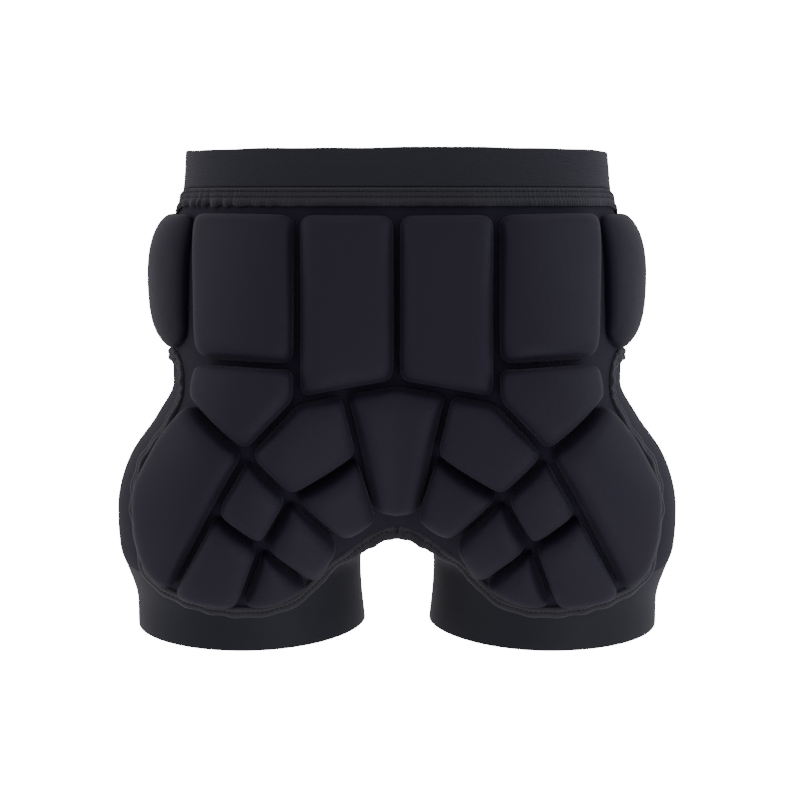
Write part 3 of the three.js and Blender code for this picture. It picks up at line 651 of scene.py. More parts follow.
class Finish:
    """A material under construction."""

    def __init__(self, name, base, roughness, sheen):
        self.material = bpy.data.materials.new(name)
        self.material.use_nodes = True
        self.material.diffuse_color = (*base, 1)
        self.tree = self.material.node_tree
        self.shader = self.tree.nodes["Principled BSDF"]
        self.base = tuple(base)
        self.roughness = roughness
        self.set("Roughness", roughness)
        self.set("Sheen Weight", sheen)
        self.set("Sheen Roughness", SHEEN_ROUGHNESS)
        self.set("Sheen Tint", SHEEN_TINT)
        self.set("Specular IOR Level", SPECULAR_LEVEL)

    def feed(self, socket, value):
        """Links a shader value to a socket, or sets a plain one on it."""
        if isinstance(value, Value):
            self.tree.links.new(value.socket, socket)
        else:
            socket.default_value = value

    def node(self, kind, settings=None, inputs=None):
        """Adds a node: its settings first, then the values or links of its sockets."""
        node = self.tree.nodes.new(kind)
        for name, value in (settings or {}).items():
            setattr(node, name, value)
        for name, value in (inputs or {}).items():
            self.feed(node.inputs[name], value)
        return node

    def out(self, node, name=0):
        return Value(self.tree, node.outputs[name])

    def set(self, name, value):
        self.feed(self.shader.inputs[name], value)

    def cloth_place(self):
        """Across and down the cloth, in metres, from the piece's own UV map."""
        place = self.node("ShaderNodeSeparateXYZ", inputs={
            "Vector": self.out(self.node("ShaderNodeTexCoord"), "UV")})
        return self.out(place, "X"), self.out(place, "Y")

    def noise(self, scale, detail, stretch=(1, 1, 1)):
        place = self.node("ShaderNodeMapping", inputs={
            "Vector": self.out(self.node("ShaderNodeTexCoord"), "Object"), "Scale": stretch})
        noise = self.node("ShaderNodeTexNoise", inputs={
            "Vector": self.out(place), "Scale": scale, "Detail": detail})
        return self.out(noise, "Fac")

    def mix(self, amount, tone, other):
        """A colour between two, which are plain or shader values."""
        mix = self.node("ShaderNodeMix", {"data_type": "RGBA"}, {
            "Factor": amount.clamped(), MIX_FROM: tone, MIX_TO: other})
        return self.out(mix, MIX_RESULT)

    def shade(self, amount, low, high):
        """Base colour between a darker and a lighter tone of the cloth."""
        tones = [(*(part * level for part in self.base), 1) for level in (low, high)]
        self.set("Base Color", self.mix(amount, *tones))

    def paint_shade(self, attribute, tone, low, high):
        """Paints shade: takes the base colour towards a darker tone where an attribute of the mesh is low.
        """
        value = self.out(self.node("ShaderNodeAttribute", {"attribute_name": attribute}), "Fac")
        cloth = Value(self.tree, self.shader.inputs["Base Color"].links[0].from_socket)
        self.set("Base Color", self.mix((value - low) * (1 / (high - low)), (*tone, 1), cloth))

    def roughen(self, amount, spread):
        """Lets the roughness vary evenly round its own value."""
        self.set("Roughness", amount * spread + (self.roughness - spread / 2))

    def bump(self, height, distance):
        bump = self.node("ShaderNodeBump", inputs={"Height": height, "Distance": distance})
        self.set("Normal", self.out(bump))


# Gauge of each knit, in metres: the width of a column, the height of a row and the relief of the loops
PLAIN_GAUGE = (0.0009, 0.0007, 0.00006)
FINE_GAUGE = (0.0008, 0.0006, 0.00004)
TAPE_GAUGE = (0.0007, 0.0006, 0.00006)

# Slow drift over a knit: its noise's scale and detail, its share of the tone, how much the roughness
# follows it, and the darkest and lightest tones
KNIT_DRIFT = (28, 3)
DRIFT_SHARE = 0.65
DRIFT_ROUGHNESS = 0.16
KNIT_TONES = (0.82, 1.2)

# Heights above the form, as shares of a pad's thickness, between which the painted shade in its cover's
# grooves fades
GROOVE_SHADE_HEIGHTS = (0.15, 1.0)


def knit(name, base, gauge, roughness, sheen, groove_shade=None):
    """Fine stretch knit: columns of loops, with a slow drift of tone and roughness, and painted shade low in
    the grooves where a shade tone is given.
    """
    wale, course, relief = gauge
    finish = Finish(name, base, roughness, sheen)
    across, down = finish.cloth_place()
    columns = (across * (2 * math.pi / wale)).sine()
    lean = (across * (math.pi / wale)).sine() * (course / 4)
    rows = ((down + lean) * (2 * math.pi / course)).sine()
    loops = columns * 0.3 + rows * 0.2 + 0.5
    drift = finish.noise(*KNIT_DRIFT)
    finish.shade(loops * (1 - DRIFT_SHARE) + drift * DRIFT_SHARE, *KNIT_TONES)
    # Painted shade: a darker base colour low on the pad walls, down in the grooves
    if groove_shade:
        finish.paint_shade("height", groove_shade, *GROOVE_SHADE_HEIGHTS)
    finish.roughen(drift, DRIFT_ROUGHNESS)
    finish.bump(loops, relief)
    return finish.material


# Woven elastic: its threads across, its cords along and their relief in metres, then its streaks' noise,
# their share of the tone, how much the roughness follows them, and the darkest and lightest tones
PICK = 0.0011
CORD = 0.00069
ELASTIC_RELIEF = 0.00008
STREAKS = (9, 4, (1, 1, 90))
STREAK_SHARE = 0.7
STREAK_ROUGHNESS = 0.2
ELASTIC_TONES = (0.75, 1.3)


def ribbed(name, base):
    """Woven elastic: threads that cross the ribs, with a soft streak along each rib."""
    finish = Finish(name, base, roughness=0.72, sheen=0.2)
    across, down = finish.cloth_place()
    picks = (across * (2 * math.pi / PICK)).sine()
    cords = (down * (2 * math.pi / CORD)).sine()
    streak = finish.noise(*STREAKS)
    threads = picks * cords * 0.5 + 0.5
    finish.shade(threads * (1 - STREAK_SHARE) + streak * STREAK_SHARE, *ELASTIC_TONES)
    finish.roughen(streak, STREAK_ROUGHNESS)
    finish.bump(threads, ELASTIC_RELIEF)
    return finish.material


TWIST = (1800, 1)
TWIST_RELIEF = 0.00003
TWIST_TONES = (0.7, 1.5)


def thread(name, base):
    """Twisted sewing thread."""
    finish = Finish(name, base, roughness=0.6, sheen=0.15)
    twist = finish.noise(*TWIST)
    finish.shade(twist, *TWIST_TONES)
    finish.bump(twist, TWIST_RELIEF)
    return finish.material


def loop_section(share, drop):
    """Chart places right round the garment: share runs from 0 to 2, and past 1 on the wearer's left."""
    left = share > 1
    part = np.where(left, 2 - share, share)
    return part * FORM.along(FORM.end, drop), left


def lay_loop(share, drop, lift):
    """Places round the garment, held at their own drop."""
    across, left = loop_section(share, drop)
    places = FORM.lifted(across, drop, lift)
    places[:, 2] = WAISTBAND_HEIGHT / 2 - drop
    places[:, 0] = np.where((share == 0) | (share == 1) | (share == 2), 0, places[:, 0])
    places[:, 0] *= np.where(left, -1, 1)
    return places, np.column_stack([np.where(left, -across, across), -drop])


def near(value, place, reach):
    """1 at a place, and softly down to 0 away from it."""
    return np.exp(-(((value - place) / reach) ** 2))


def waves(turn, parts):
    """Adds up sine waves, each given as [strength, count, phase]."""
    return sum(strength * np.sin(count * turn + phase) for strength, count, phase in parts)


# Waistband, in millimetres: how far its foot stops short, how its rim rises, waves and leans, how far
# down that and the dip at the hips reach, and how its edges round over
SEAM_RAISE = 2.6
RIM_RISE = 1.0
RIM_WAVE = 0.7
RIM_LEAN = 0.5
RIM_REACH = 12
DIP_START = 8
RIM_WAVES = [(0.5, 3, 0.6), (0.35, 7, 0), (0.2, 17, 1)]
EDGE_ROUND = 1.2
EDGE_FALL = 0.5
INNER_EDGE = 1
INNER_RISE = 0.4
RIB_ROUND = 0.7
RIB_ROWS = 6
INNER_ROWS = 13
BAND_COLUMNS = 360


def band_profile():
    """Profile of the ribbed waistband as drops and lifts, from its rim down the outside and up inside."""
    wall = mm(sizes().waistband_wall)
    count = sizes().rib_count
    foot = WAISTBAND_HEIGHT - SEAM_RAISE
    rows = np.linspace(0, foot, count * RIB_ROWS + 1)
    rib = np.abs(np.sin(rows / foot * math.pi * count)) ** RIB_ROUND
    lift = wall - mm(sizes().rib_depth) * (1 - rib)
    edge = np.minimum(rows, foot - rows)
    fallen = wall - EDGE_FALL * (1 - edge / EDGE_ROUND) ** 2 * wall
    lift = np.where(edge < EDGE_ROUND, np.minimum(lift, fallen), lift)
    inside = np.linspace(WAISTBAND_HEIGHT, 0, INNER_ROWS)
    inner_edge = np.minimum(inside, WAISTBAND_HEIGHT - inside)
    inner = np.where(inner_edge < INNER_EDGE, INNER_RISE * wall, 0.0)
    return np.concatenate([rows, inside]), np.concatenate([lift, inner])


class SHORTS_OT_waistband(bpy.types.Operator):
    """Adds the ribbed waistband"""
    bl_idname = "shorts.waistband"
    bl_label = "Waistband"

    def execute(self, context):
        drops, lifts = band_profile()

        def lay(i, j):
            share = 2 * i / BAND_COLUMNS
            j = j % len(drops)
            wave = waves(share * math.pi, RIM_WAVES)
            rim = np.clip(1 - drops[j] / RIM_REACH, 0, 1)
            outside = lifts[j] > 0
            foot = np.clip((drops[j] - DIP_START) / (WAISTBAND_HEIGHT - DIP_START), 0, 1) * outside
            drop = drops[j] + side_dip(share) * foot - (RIM_RISE + RIM_WAVE * wave) * rim
            return lay_loop(share, drop, lifts[j] + RIM_LEAN * wave * rim * outside)

        band = grid("waistband_ribbed", BAND_COLUMNS, len(drops), lay)
        in_edit_mode(band, weld, face_outwards)
        smooth(band, 60)
        finish_piece(band, ribbed("ribbed elastic", colours().waistband), "ribbed_elastic", "waistband")
        return {"FINISHED"}


# Waist seam. Places round it are shares from 0 to 2. It hangs down at both hips, and its gathers are
# fullest over the wearer's left hip.
SIDE_DIP = 8.5
DIP_PLACE = 0.54
DIP_REACH = 0.15
GATHER_LEAST = 0.14
GATHER_MOST = 1.1
GATHER_PLACE = 1.64
GATHER_REACH = 0.13
GATHER_WAVES = [(0.05, 5, 0)]
SEAM_DRIFT = [(2.2, 7, 0.3), (1.4, 13, 1.7), (0.9, 29, 0)]
SEAM_FADE = 0.25
SEAM_FADING = [(SEAM_FADE, 11, 0.4)]
PUCKER_COUNT = 331
PUCKER_DRIFT = [(1.5, 41, 0), (1.1, 67, 2)]
PUCKER_DEPTH = 0.22
WAVE_LIFT = 0.08
SEAM_COLUMNS = 1600


def side_dip(share):
    """How far the waist seam hangs down at the hips, in millimetres."""
    half = np.minimum(share, 2 - share)
    closeness = np.clip(1 - np.abs(half - DIP_PLACE) / DIP_REACH, 0, 1)
    return SIDE_DIP * closeness**2 * (3 - 2 * closeness)


def gather(share):
    """Strength of the gathers round the waist seam."""
    full = GATHER_MOST * near(share, GATHER_PLACE, GATHER_REACH)
    return GATHER_LEAST + full + waves(share * math.pi, GATHER_WAVES)


def seam_wave(share):
    """Uneven waves round the waist seam, from about -1 to 1."""
    count = round(2 * FORM.end[PANEL_TOP] / mm(sizes().ruffle_pitch))
    turn = share * math.pi
    fade = 1 - SEAM_FADE + waves(turn, SEAM_FADING)
    return np.sin(count * turn + waves(turn, SEAM_DRIFT)) * fade


def pucker_wave(share):
    """Fine puckers between the stitches."""
    turn = share * math.pi
    return np.sin(PUCKER_COUNT * turn + waves(turn, PUCKER_DRIFT))


# Profile of the waist seam: the share of the way down, the rise in millimetres, and how much the
# gathers move it. The first SEAM_OUTSIDE rows are its outside.
SEAM_PROFILE = np.array([
    (0.00, 0.9, 0.0), (0.02, 1.9, 0.05), (0.07, 2.5, 0.1), (0.13, 2.5, 0.1), (0.18, 1.8, 0.08),
    (0.22, 1.15, 0.04), (0.26, 1.8, 0.1), (0.33, 2.3, 0.2), (0.42, 2.3, 0.2), (0.48, 1.8, 0.12),
    (0.52, 1.15, 0.06), (0.56, 1.9, 0.2), (0.66, 2.7, 0.5), (0.78, 2.8, 0.75), (0.90, 2.4, 0.95),
    (1.0, 1.7, 1.0), (1.0, 0.5, 1.0), (0.9, 0.15, 0.6), (0.6, 0.1, 0.0), (0.2, 0.1, 0.0),
])
SEAM_OUTSIDE = 16
STITCH_ROWS = (0.22, 0.52)
STITCH_PLACES = 3000
SEAM_THREAD_RISE = 0.25
STITCH_PITCH = 1.35


def lay_seam(share, down, rise, ruffle):
    """Places on the waist seam."""
    wave = seam_wave(share) * gather(share) * ruffle
    height = WAIST_SEAM_HEIGHT - SEAM_CLEARANCE
    drop = CLOTH_TOP - SEAM_RAISE + height * down * (1 + WAVE_LIFT * wave) + side_dip(share)
    fine = PUCKER_DEPTH * pucker_wave(share) * np.clip(rise - 1, 0, 1)
    lift = CLOTH + SEAM_CLEARANCE + rise + fine + mm(sizes().ruffle_depth) * wave * np.clip(rise, 0, 1)
    return lay_loop(share, drop, lift)


def stitch_row(name, places, outward, material, slot):
    """Stitches along a row of places, copied from one primitive."""
    deselect()
    bpy.ops.mesh.primitive_uv_sphere_add(segments=6, ring_count=4, radius=1)
    stitch = bpy.context.object
    ball = points_of(stitch)
    faces = [tuple(face.vertices) for face in stitch.data.polygons]
    bpy.data.objects.remove(stitch)
    run = distances(places)
    pitch = mm(sizes().stitch_length) * STITCH_PITCH
    at = np.arange(pitch, run[-1] - pitch / 2, pitch)
    centre = sampled(places, run, at)
    up = sampled(outward, run, at)
    ahead = unit(sampled(places, run, at + pitch / 4) - centre)
    up = unit(up - ahead * np.sum(up * ahead, axis=1, keepdims=True))
    side = np.cross(ahead, up)
    half, thick = mm(sizes().stitch_length) / 2, mm(sizes().stitch_thickness)
    points = (centre[:, None] + ball[None, :, 2:3] * half * ahead[:, None]
              + ball[None, :, 1:2] * thick * side[:, None] + ball[None, :, 0:1] * thick * up[:, None])
    all_faces = [tuple(corner + n * len(ball) for corner in face) for n in range(len(at)) for face in faces]
    flat = points.reshape(-1, 3)
    row = mesh_piece(name, flat, all_faces, flat[:, :2])
    in_edit_mode(row, face_outwards)
    smooth(row, 80)
    return finish_piece(row, material, slot)


class SHORTS_OT_waist_seam(bpy.types.Operator):
    """Adds the gathered waist seam with its two rows of stitches"""
    bl_idname = "shorts.waist_seam"
    bl_label = "Waist seam"

    def execute(self, context):
        def lay(i, j):
            down, rise, ruffle = SEAM_PROFILE[j % len(SEAM_PROFILE)].T
            return lay_seam(2 * i / SEAM_COLUMNS, down, rise, ruffle)

        seam = grid("waist_seam_gathered", SEAM_COLUMNS, len(SEAM_PROFILE), lay)
        in_edit_mode(seam, weld, face_outwards)
        smooth(seam, 60)
        cloth = knit("gathered cloth", colours().seam, PLAIN_GAUGE, roughness=0.8, sheen=0.25)
        finish_piece(seam, cloth, "gathered_cloth", "waist_seam")
        share = np.linspace(0, 2, STITCH_PLACES)
        yarn = thread("thread", colours().thread)
        outside = SEAM_PROFILE[:SEAM_OUTSIDE]
        for number, down in enumerate(STITCH_ROWS):
            rise, ruffle = (np.interp(down, outside[:, 0], outside[:, k]) for k in (1, 2))
            row = np.full_like(share, down)
            places, _ = lay_seam(share, row, rise + SEAM_THREAD_RISE, ruffle)
            further, _ = lay_seam(share, row, rise + SEAM_THREAD_RISE + 1, ruffle)
            stitch_row(f"waist_stitches_{number + 1}", places, further - places, yarn, "gathered_cloth")
        return {"FINISHED"}


# Grid of the cloth: its columns on the inner and the outer quarter of a section, how far apart its rows
# are, how many lie next above and below the crotch, and how those crowd towards it
INNER_COLUMNS = 22
OUTER_COLUMNS = 26
CLOTH_ROW = 3.2
ROWS_ABOVE_CROTCH = 14
ROWS_BELOW_CROTCH = 24
CROWDING_ABOVE = 2
CROWDING_BELOW = 1.5


def cloth_drops():
    """Drops of the cloth's rows, closer together at the crotch."""
    drops = [CLOTH_TOP]
    for upper, lower in zip(SECTION_DROPS[1:-1], SECTION_DROPS[2:]):
        steps = max(round((lower - upper) / CLOTH_ROW), 1)
        share = np.arange(1, steps + 1) / steps
        if lower == CROTCH_DROP:
            share = 1 - (1 - np.arange(1, ROWS_ABOVE_CROTCH + 1) / ROWS_ABOVE_CROTCH) ** CROWDING_ABOVE
        if upper == CROTCH_DROP:
            share = (np.arange(1, ROWS_BELOW_CROTCH + 1) / ROWS_BELOW_CROTCH) ** CROWDING_BELOW
        top = max(upper, CLOTH_TOP)
        drops += [top + (lower - top) * part for part in share]
    return np.array(drops)


def cloth_shell():
    """The cloth below the waistband in one piece, 2 mm thick."""
    columns = 2 * (INNER_COLUMNS + OUTER_COLUMNS)
    drops = cloth_drops()
    rows = np.array([half_section(drop, INNER_COLUMNS, OUTER_COLUMNS) for drop in drops])

    def side_of(side):
        def lay(i, j):
            flat = rows[j, i]
            places = np.column_stack([side * flat[:, 0], flat[:, 1], WAISTBAND_HEIGHT / 2 - drops[j]])
            return places, places[:, :2]
        return lay

    right = grid("cloth", columns, len(drops) - 1, side_of(1))
    left = grid("cloth_left", columns, len(drops) - 1, side_of(-1))
    activate(right, left)
    bpy.ops.object.join()
    in_edit_mode(right, weld, face_outwards)
    shell = bpy.context.object
    apply_modifier(shell, "SOLIDIFY", thickness=CLOTH * MM, offset=1, use_even_offset=False)
    return shell


def prism(name, outline, along):
    """A prism through the garment, from an outline of [width or depth, drop] in millimetres."""
    deselect()
    bpy.ops.mesh.primitive_circle_add(vertices=len(outline), fill_type="NGON", radius=1)
    piece = bpy.context.object
    piece.name = name
    reach = 2 * THIGH_SPAN
    height = WAISTBAND_HEIGHT / 2 - outline[:, 1]
    if along == "Y":
        flat = np.column_stack([outline[:, 0], np.full(len(outline), -reach), height])
        pull = (0, 2 * reach * MM, 0)
    else:
        flat = np.column_stack([np.full(len(outline), -reach), outline[:, 0], height])
        pull = (2 * reach * MM, 0, 0)
    set_points(piece, flat * MM)
    in_edit_mode(
        piece,
        lambda: bpy.ops.mesh.extrude_region_move(TRANSFORM_OT_translate={"value": pull}),
        lambda: bpy.ops.mesh.select_all(action="SELECT"),
        face_outwards)
    return piece


def leg_prism(side):
    """Zone of one leg band, seen from behind."""
    far = 2 * THIGH_SPAN
    outline = np.vstack([HEM_CURVE, [(far, HEM_END[1]), (far, far), (0, far)]])
    return prism("leg_zone", outline * (side, 1), "Y")


def back_prism():
    """Zone of the back panel, seen from the side. Towards the crotch it takes in all behind the middle."""
    far = 2 * THIGH_SPAN
    corners = [(SEAM_FOOT[0], far), (-far, far), (-far, -far), (SEAM_TOP * SEAT_DEPTH, -far)]
    zone = prism("back_zone", np.vstack([SIDE_SEAM_CURVE, corners]), "X")
    deselect()
    bpy.ops.mesh.primitive_cube_add(size=1)
    towards_crotch = bpy.context.object
    reach = THIGH_SPAN / 4
    low, high = np.array((-reach, -far, -far)), np.array((reach, 0, far))
    set_points(towards_crotch, ((points_of(towards_crotch) + 0.5) * (high - low) + low) * MM)
    apply_modifier(zone, "BOOLEAN", object=towards_crotch, operation="UNION", solver="MANIFOLD")
    bpy.data.objects.remove(towards_crotch)
    return zone


def cut(piece, zone, operation, name):
    """A copy of a piece, cut by a zone."""
    copy = own_copy(piece, name)
    apply_modifier(copy, "BOOLEAN", object=zone, operation=operation, solver="MANIFOLD")
    return copy


def declare_cloth(piece, halves):
    """Works out the flat size of a piece of cloth, what it measures over the form on one of its two faces,
    and then drops it.
    """
    uv = np.empty(2 * len(piece.data.loops))
    piece.data.uv_layers.active.data.foreach_get("uv", uv)
    across, down = np.abs(uv[::2]), uv[1::2]
    area = sum(face.area for face in piece.data.polygons) / 2
    width = halves * np.ptp(across)
    max(np.ptp(down), area / width)


class SHORTS_OT_cloth(bpy.types.Operator):
    """Adds the back and front panels and the leg bands, cut from one shell of cloth"""
    bl_idname = "shorts.cloth"
    bl_label = "Cloth panels"

    def execute(self, context):
        shell = cloth_shell()
        zones = {side: leg_prism(side) for side in (1, -1)}
        back_zone = back_prism()
        legs = {side: cut(shell, zones[side], "INTERSECT", "leg_band_cloth") for side in (1, -1)}
        body = cut(shell, zones[1], "DIFFERENCE", "body")
        body = cut(body, zones[-1], "DIFFERENCE", "body_of_cloth")
        back = cut(body, back_zone, "INTERSECT", "back_panel_cloth")
        front = cut(body, back_zone, "DIFFERENCE", "front_panel_cloth")
        kept = {back, front, *legs.values()}
        helpers = ("cloth", "body", "body_of_cloth", "leg_zone", "back_zone")
        for piece in list(context.scene.objects):
            if piece.name.split(".")[0] in helpers:
                bpy.data.objects.remove(piece)
        panel = knit("panel cloth", colours().panel, PLAIN_GAUGE, roughness=0.78, sheen=0.07)
        elastic = knit("leg elastic", colours().cuff, FINE_GAUGE, roughness=0.6, sheen=0.14)
        for piece in kept:
            map_cloth(piece)
            smooth(piece, 45)
        for piece, halves in ((back, 2), (front, 2), (legs[1], 1), (legs[-1], 1)):
            declare_cloth(piece, halves)
        finish_piece(back, panel, "panel_cloth", "back_panel")
        finish_piece(front, panel, "panel_cloth", "front_panel")
        for side, word in ((1, "right"), (-1, "left")):
            legs[side].name = legs[side].data.name = f"leg_band_cloth_{word}"
            finish_piece(legs[side], elastic, "leg_elastic", f"leg_band_{word}")
        return {"FINISHED"}


# Binding along the padded panel's edge, in millimetres from the crotch: its steps, how far it stays off
# the middle, how long it takes to turn outwards, and how the tape puckers and is ruched
BINDING_STEP = 1.3
BINDING_CLEARANCE = 0.35
SEAM_START = 4
PATH_SMOOTHING = 12
NORMAL_SMOOTHING = 10
CROTCH_TURN = 40
CROTCH_LEAN = (0, -1.3, 0.35)
CROTCH_REACH = 58
CROTCH_WIDENING = 0.7
CROTCH_RUCHING = 0.6
RUCHED_DROP = 160
RUCHED_REACH = 22
RUCHED_SWAY = 0.55
SWAY_START = 12
THREAD_END = 4
TAPE_THREAD_RISE = 0.2

# Waves along the binding: their pitch, how much it drifts and the pitch of that drift, then how strongly
# puckers move its width and its height, and ruches its height
PUCKERS = (3.4, 1.4, 23)
RUCHES = (1.15, 1.1, 7)
PUCKERED_WIDTH = 0.07
PUCKERED_HEIGHT = 0.3
RUCHED_HEIGHT = 0.45

# Profile across the tape: the share of its half width and of its thickness
TAPE_DIP = 0.72
BINDING_PROFILE = np.array([
    (-1.0, 0.0), (-1.0, 0.55), (-0.9, 0.85), (-0.6, 1.0), (-0.25, 0.95), (-0.08, TAPE_DIP), (0.08, TAPE_DIP),
    (0.25, 0.95), (0.6, 1.0), (0.9, 0.85), (1.0, 0.55), (1.0, 0.0), (0.4, -0.02), (-0.4, -0.02),
])


def binding_path():
    """Chart places along the padded panel's edge, from the crotch round the leg and up the side."""
    half_width = mm(sizes().binding_width) / 2
    hem = [(max(across_at_width(x, drop), FORM.along(FORM.start, drop)), drop) for x, drop in HEM_CURVE]
    clear = PANEL_TOP + half_width
    drops = SIDE_SEAM_CURVE[:, 1]
    rising = SIDE_SEAM_CURVE[(drops > clear) & (drops < HEM_END[1] - SEAM_START)][::-1]
    seam = [(across_at_depth(y, drop), drop) for y, drop in rising]
    top = [(across_at_depth(SEAM_TOP * SEAT_DEPTH, clear), clear)]
    return even_steps(np.array(hem + seam + top), BINDING_STEP)


def smoothed(values, times):
    """Averages each place with its neighbours, with the ends held."""
    for _ in range(times):
        values = values.copy()
        values[1:-1] = (values[:-2] + 2 * values[1:-1] + values[2:]) / 4
    return values


def uneven(run, pitch, drift, drift_pitch):
    """A wave along the binding, with a pitch that drifts."""
    return np.sin(run / pitch + drift * np.sin(run / drift_pitch))


class SHORTS_OT_bindings(bpy.types.Operator):
    """Adds the puckered binding tapes with their stitches"""
    bl_idname = "shorts.bindings"
    bl_label = "Edge bindings"

    def execute(self, context):
        path = smoothed(binding_path(), PATH_SMOOTHING)
        count = len(path)
        centre = FORM.lifted(path[:, 0], path[:, 1], np.full(count, CLOTH + SEAM_CLEARANCE))
        centre[:, 0] = np.maximum(centre[:, 0], BINDING_CLEARANCE)
        run = np.arange(count) * BINDING_STEP
        outward = smoothed(FORM.normal(path[:, 0], path[:, 1]), NORMAL_SMOOTHING)
        outward = unit(outward + near(run, 0, CROTCH_TURN)[:, None] * CROTCH_LEAN)
        sideways = unit(np.cross(np.gradient(centre, axis=0), outward))
        pucker = uneven(run, *PUCKERS) * (0.55 + 0.45 * np.sin(run / 41 + 1) ** 2)
        ruche = uneven(run, *RUCHES) * (0.6 + 0.4 * np.sin(run / 5.3 + 2))
        at_crotch = near(run, 0, CROTCH_REACH)
        ruched = near(path[:, 1], RUCHED_DROP, RUCHED_REACH) + CROTCH_RUCHING * at_crotch
        waver = PUCKERED_WIDTH * pucker + 0.04 * np.sin(run / 9)
        width = mm(sizes().binding_width) / 2 * (1 + CROTCH_WIDENING * at_crotch + waver)
        bulge = PUCKERED_HEIGHT * pucker + RUCHED_HEIGHT * ruched * ruche
        height = mm(sizes().binding_thickness) * (1 + bulge)
        sway = RUCHED_SWAY * ruched * ruche * np.clip(run / SWAY_START, 0, 1)
        centre += sideways * sway[:, None]
        closing = np.ones(count)
        closing[0] = closing[-1] = 0
        columns, rows = count - 1, len(BINDING_PROFILE)

        def lay(i, j):
            across, rise = BINDING_PROFILE[j % rows].T
            places = (centre[i] + sideways[i] * (across * width[i] * closing[i])[:, None]
                      + outward[i] * (rise * height[i] * closing[i])[:, None])
            return places, np.column_stack([run[i], across * width[i]])

        tape = knit("binding tape", colours().binding, TAPE_GAUGE, roughness=0.75, sheen=0.25)
        yarn = thread("binding thread", colours().thread)
        right = grid("edge_binding_tape_right", columns, rows, lay)
        in_edit_mode(right, weld, face_outwards)
        smooth(right, 60)
        left = mirrored_copy(right, "edge_binding_tape_left")
        for piece, word in ((right, "right"), (left, "left")):
            finish_piece(piece, tape, "binding_tape", f"edge_binding_{word}")
        top = centre + outward * (TAPE_DIP * height + TAPE_THREAD_RISE)[:, None]
        sewn = slice(THREAD_END, -THREAD_END)
        stitches = stitch_row("binding_stitches_right", top[sewn], outward[sewn], yarn, "binding_tape")
        other = mirrored_copy(stitches, "binding_stitches_left")
        finish_piece(other, yarn, "binding_tape")
        return {"FINISHED"}


MOST_OF_EDGE = 0.45
CORNER_STEPS = 8


def rounded(corners, radius, edge_steps):
    """An outline with rounded corners and as many points whatever its size."""
    count = len(corners)
    lengths = np.linalg.norm(np.roll(corners, -1, axis=0) - corners, axis=1)
    cuts = np.minimum(radius, MOST_OF_EDGE * np.minimum(lengths, np.roll(lengths, 1)))
    points = []
    for i, corner in enumerate(corners):
        before, after = corners[i - 1], corners[(i + 1) % count]
        start = corner + (before - corner) * cuts[i] / lengths[i - 1]
        end = corner + (after - corner) * cuts[i] / lengths[i]
        t = np.linspace(0, 1, CORNER_STEPS + 1)[:, None]
        points.append(start * (1 - t) ** 2 + 2 * corner * t * (1 - t) + end * t**2)
        finish = after + (corner - after) * cuts[(i + 1) % count] / lengths[i]
        t = np.linspace(0, 1, edge_steps[i] + 1)[1:-1, None]
        points.append(end * (1 - t) + finish * t)
    return np.vstack(points)


def edge_distance(points, ring):
    """Distance of each point from a closed outline."""
    a, b = ring, np.roll(ring, -1, axis=0)
    span = b - a
    t = np.clip(np.sum((points[:, None] - a) * span, axis=2) / np.sum(span**2, axis=1), 0, 1)
    return np.linalg.norm(points[:, None] - (a + span * t[..., None]), axis=2).min(axis=1)


def inside_points(ring, spacing, margin):
    """Evenly spread points inside an outline, a margin away from it."""
    low, high = ring.min(axis=0), ring.max(axis=0)
    rows = np.arange(low[1], high[1], spacing * math.sqrt(3) / 2)
    points = np.array([
        (x + spacing / 2 * (k % 2), y)
        for k, y in enumerate(rows) for x in np.arange(low[0], high[0] + spacing, spacing)])
    ahead = np.roll(ring, -1, axis=0)
    crosses = (ring[:, 1] > points[:, 1:2]) != (ahead[:, 1] > points[:, 1:2])
    rise = np.where(ahead[:, 1] == ring[:, 1], 1, ahead[:, 1] - ring[:, 1])
    at = ring[:, 0] + (points[:, 1:2] - ring[:, 1]) * (ahead[:, 0] - ring[:, 0]) / rise
    inside = np.sum(crosses & (points[:, 0:1] < at), axis=1) % 2 == 1
    points = points[inside]
    return points[edge_distance(points, ring) > margin] if len(points) else points


FILL_MARGIN = 0.6


def filled(ring, spacing):
    """Triangles over an outline: the points inside it, and faces that count the ring's points first."""
    inner = inside_points(ring, spacing, FILL_MARGIN * spacing)
    count = len(ring)
    edges = [(i, (i + 1) % count) for i in range(count)]
    every = [Vector(p) for p in np.vstack([ring, inner])]
    places, _, faces, origins, _, _ = geometry.delaunay_2d_cdt(every, edges, [], 1, 1e-4)
    number = [origin[0] if origin else -1 for origin in origins]
    if min(number) < 0:
        raise RuntimeError("a pad's outline crosses itself")
    return inner.reshape(-1, 2), [tuple(number[corner] for corner in face) for face in faces]


def stretched_skin(chart, faces, fixed, reach):
    """Height from 0 at the fixed points to 1 far inside, as a skin over soft foam takes it.

    It solves height - reach**2 * laplacian(height) = 1 over the triangles, which rounds every corner.
    """
    count = len(chart)
    stiffness = np.zeros((count, count))
    mass = np.zeros(count)
    for place in range(3):
        i, j, k = faces[:, place], faces[:, (place + 1) % 3], faces[:, (place + 2) % 3]
        u, v = chart[j] - chart[i], chart[k] - chart[i]
        twice = np.abs(u[:, 0] * v[:, 1] - u[:, 1] * v[:, 0])
        lean = np.sum(u * v, axis=1) / np.maximum(twice, 1e-6) / 2
        np.add.at(stiffness, (j, k), -lean)
        np.add.at(stiffness, (k, j), -lean)
        np.add.at(stiffness, (j, j), lean)
        np.add.at(stiffness, (k, k), lean)
        np.add.at(mass, i, twice / 6)
    free = ~fixed
    system = reach**2 * stiffness[np.ix_(free, free)] + np.diag(mass[free])
    height = np.zeros(count)
    height[free] = np.linalg.solve(system, mass[free])
    return np.clip(height, 0, 1)


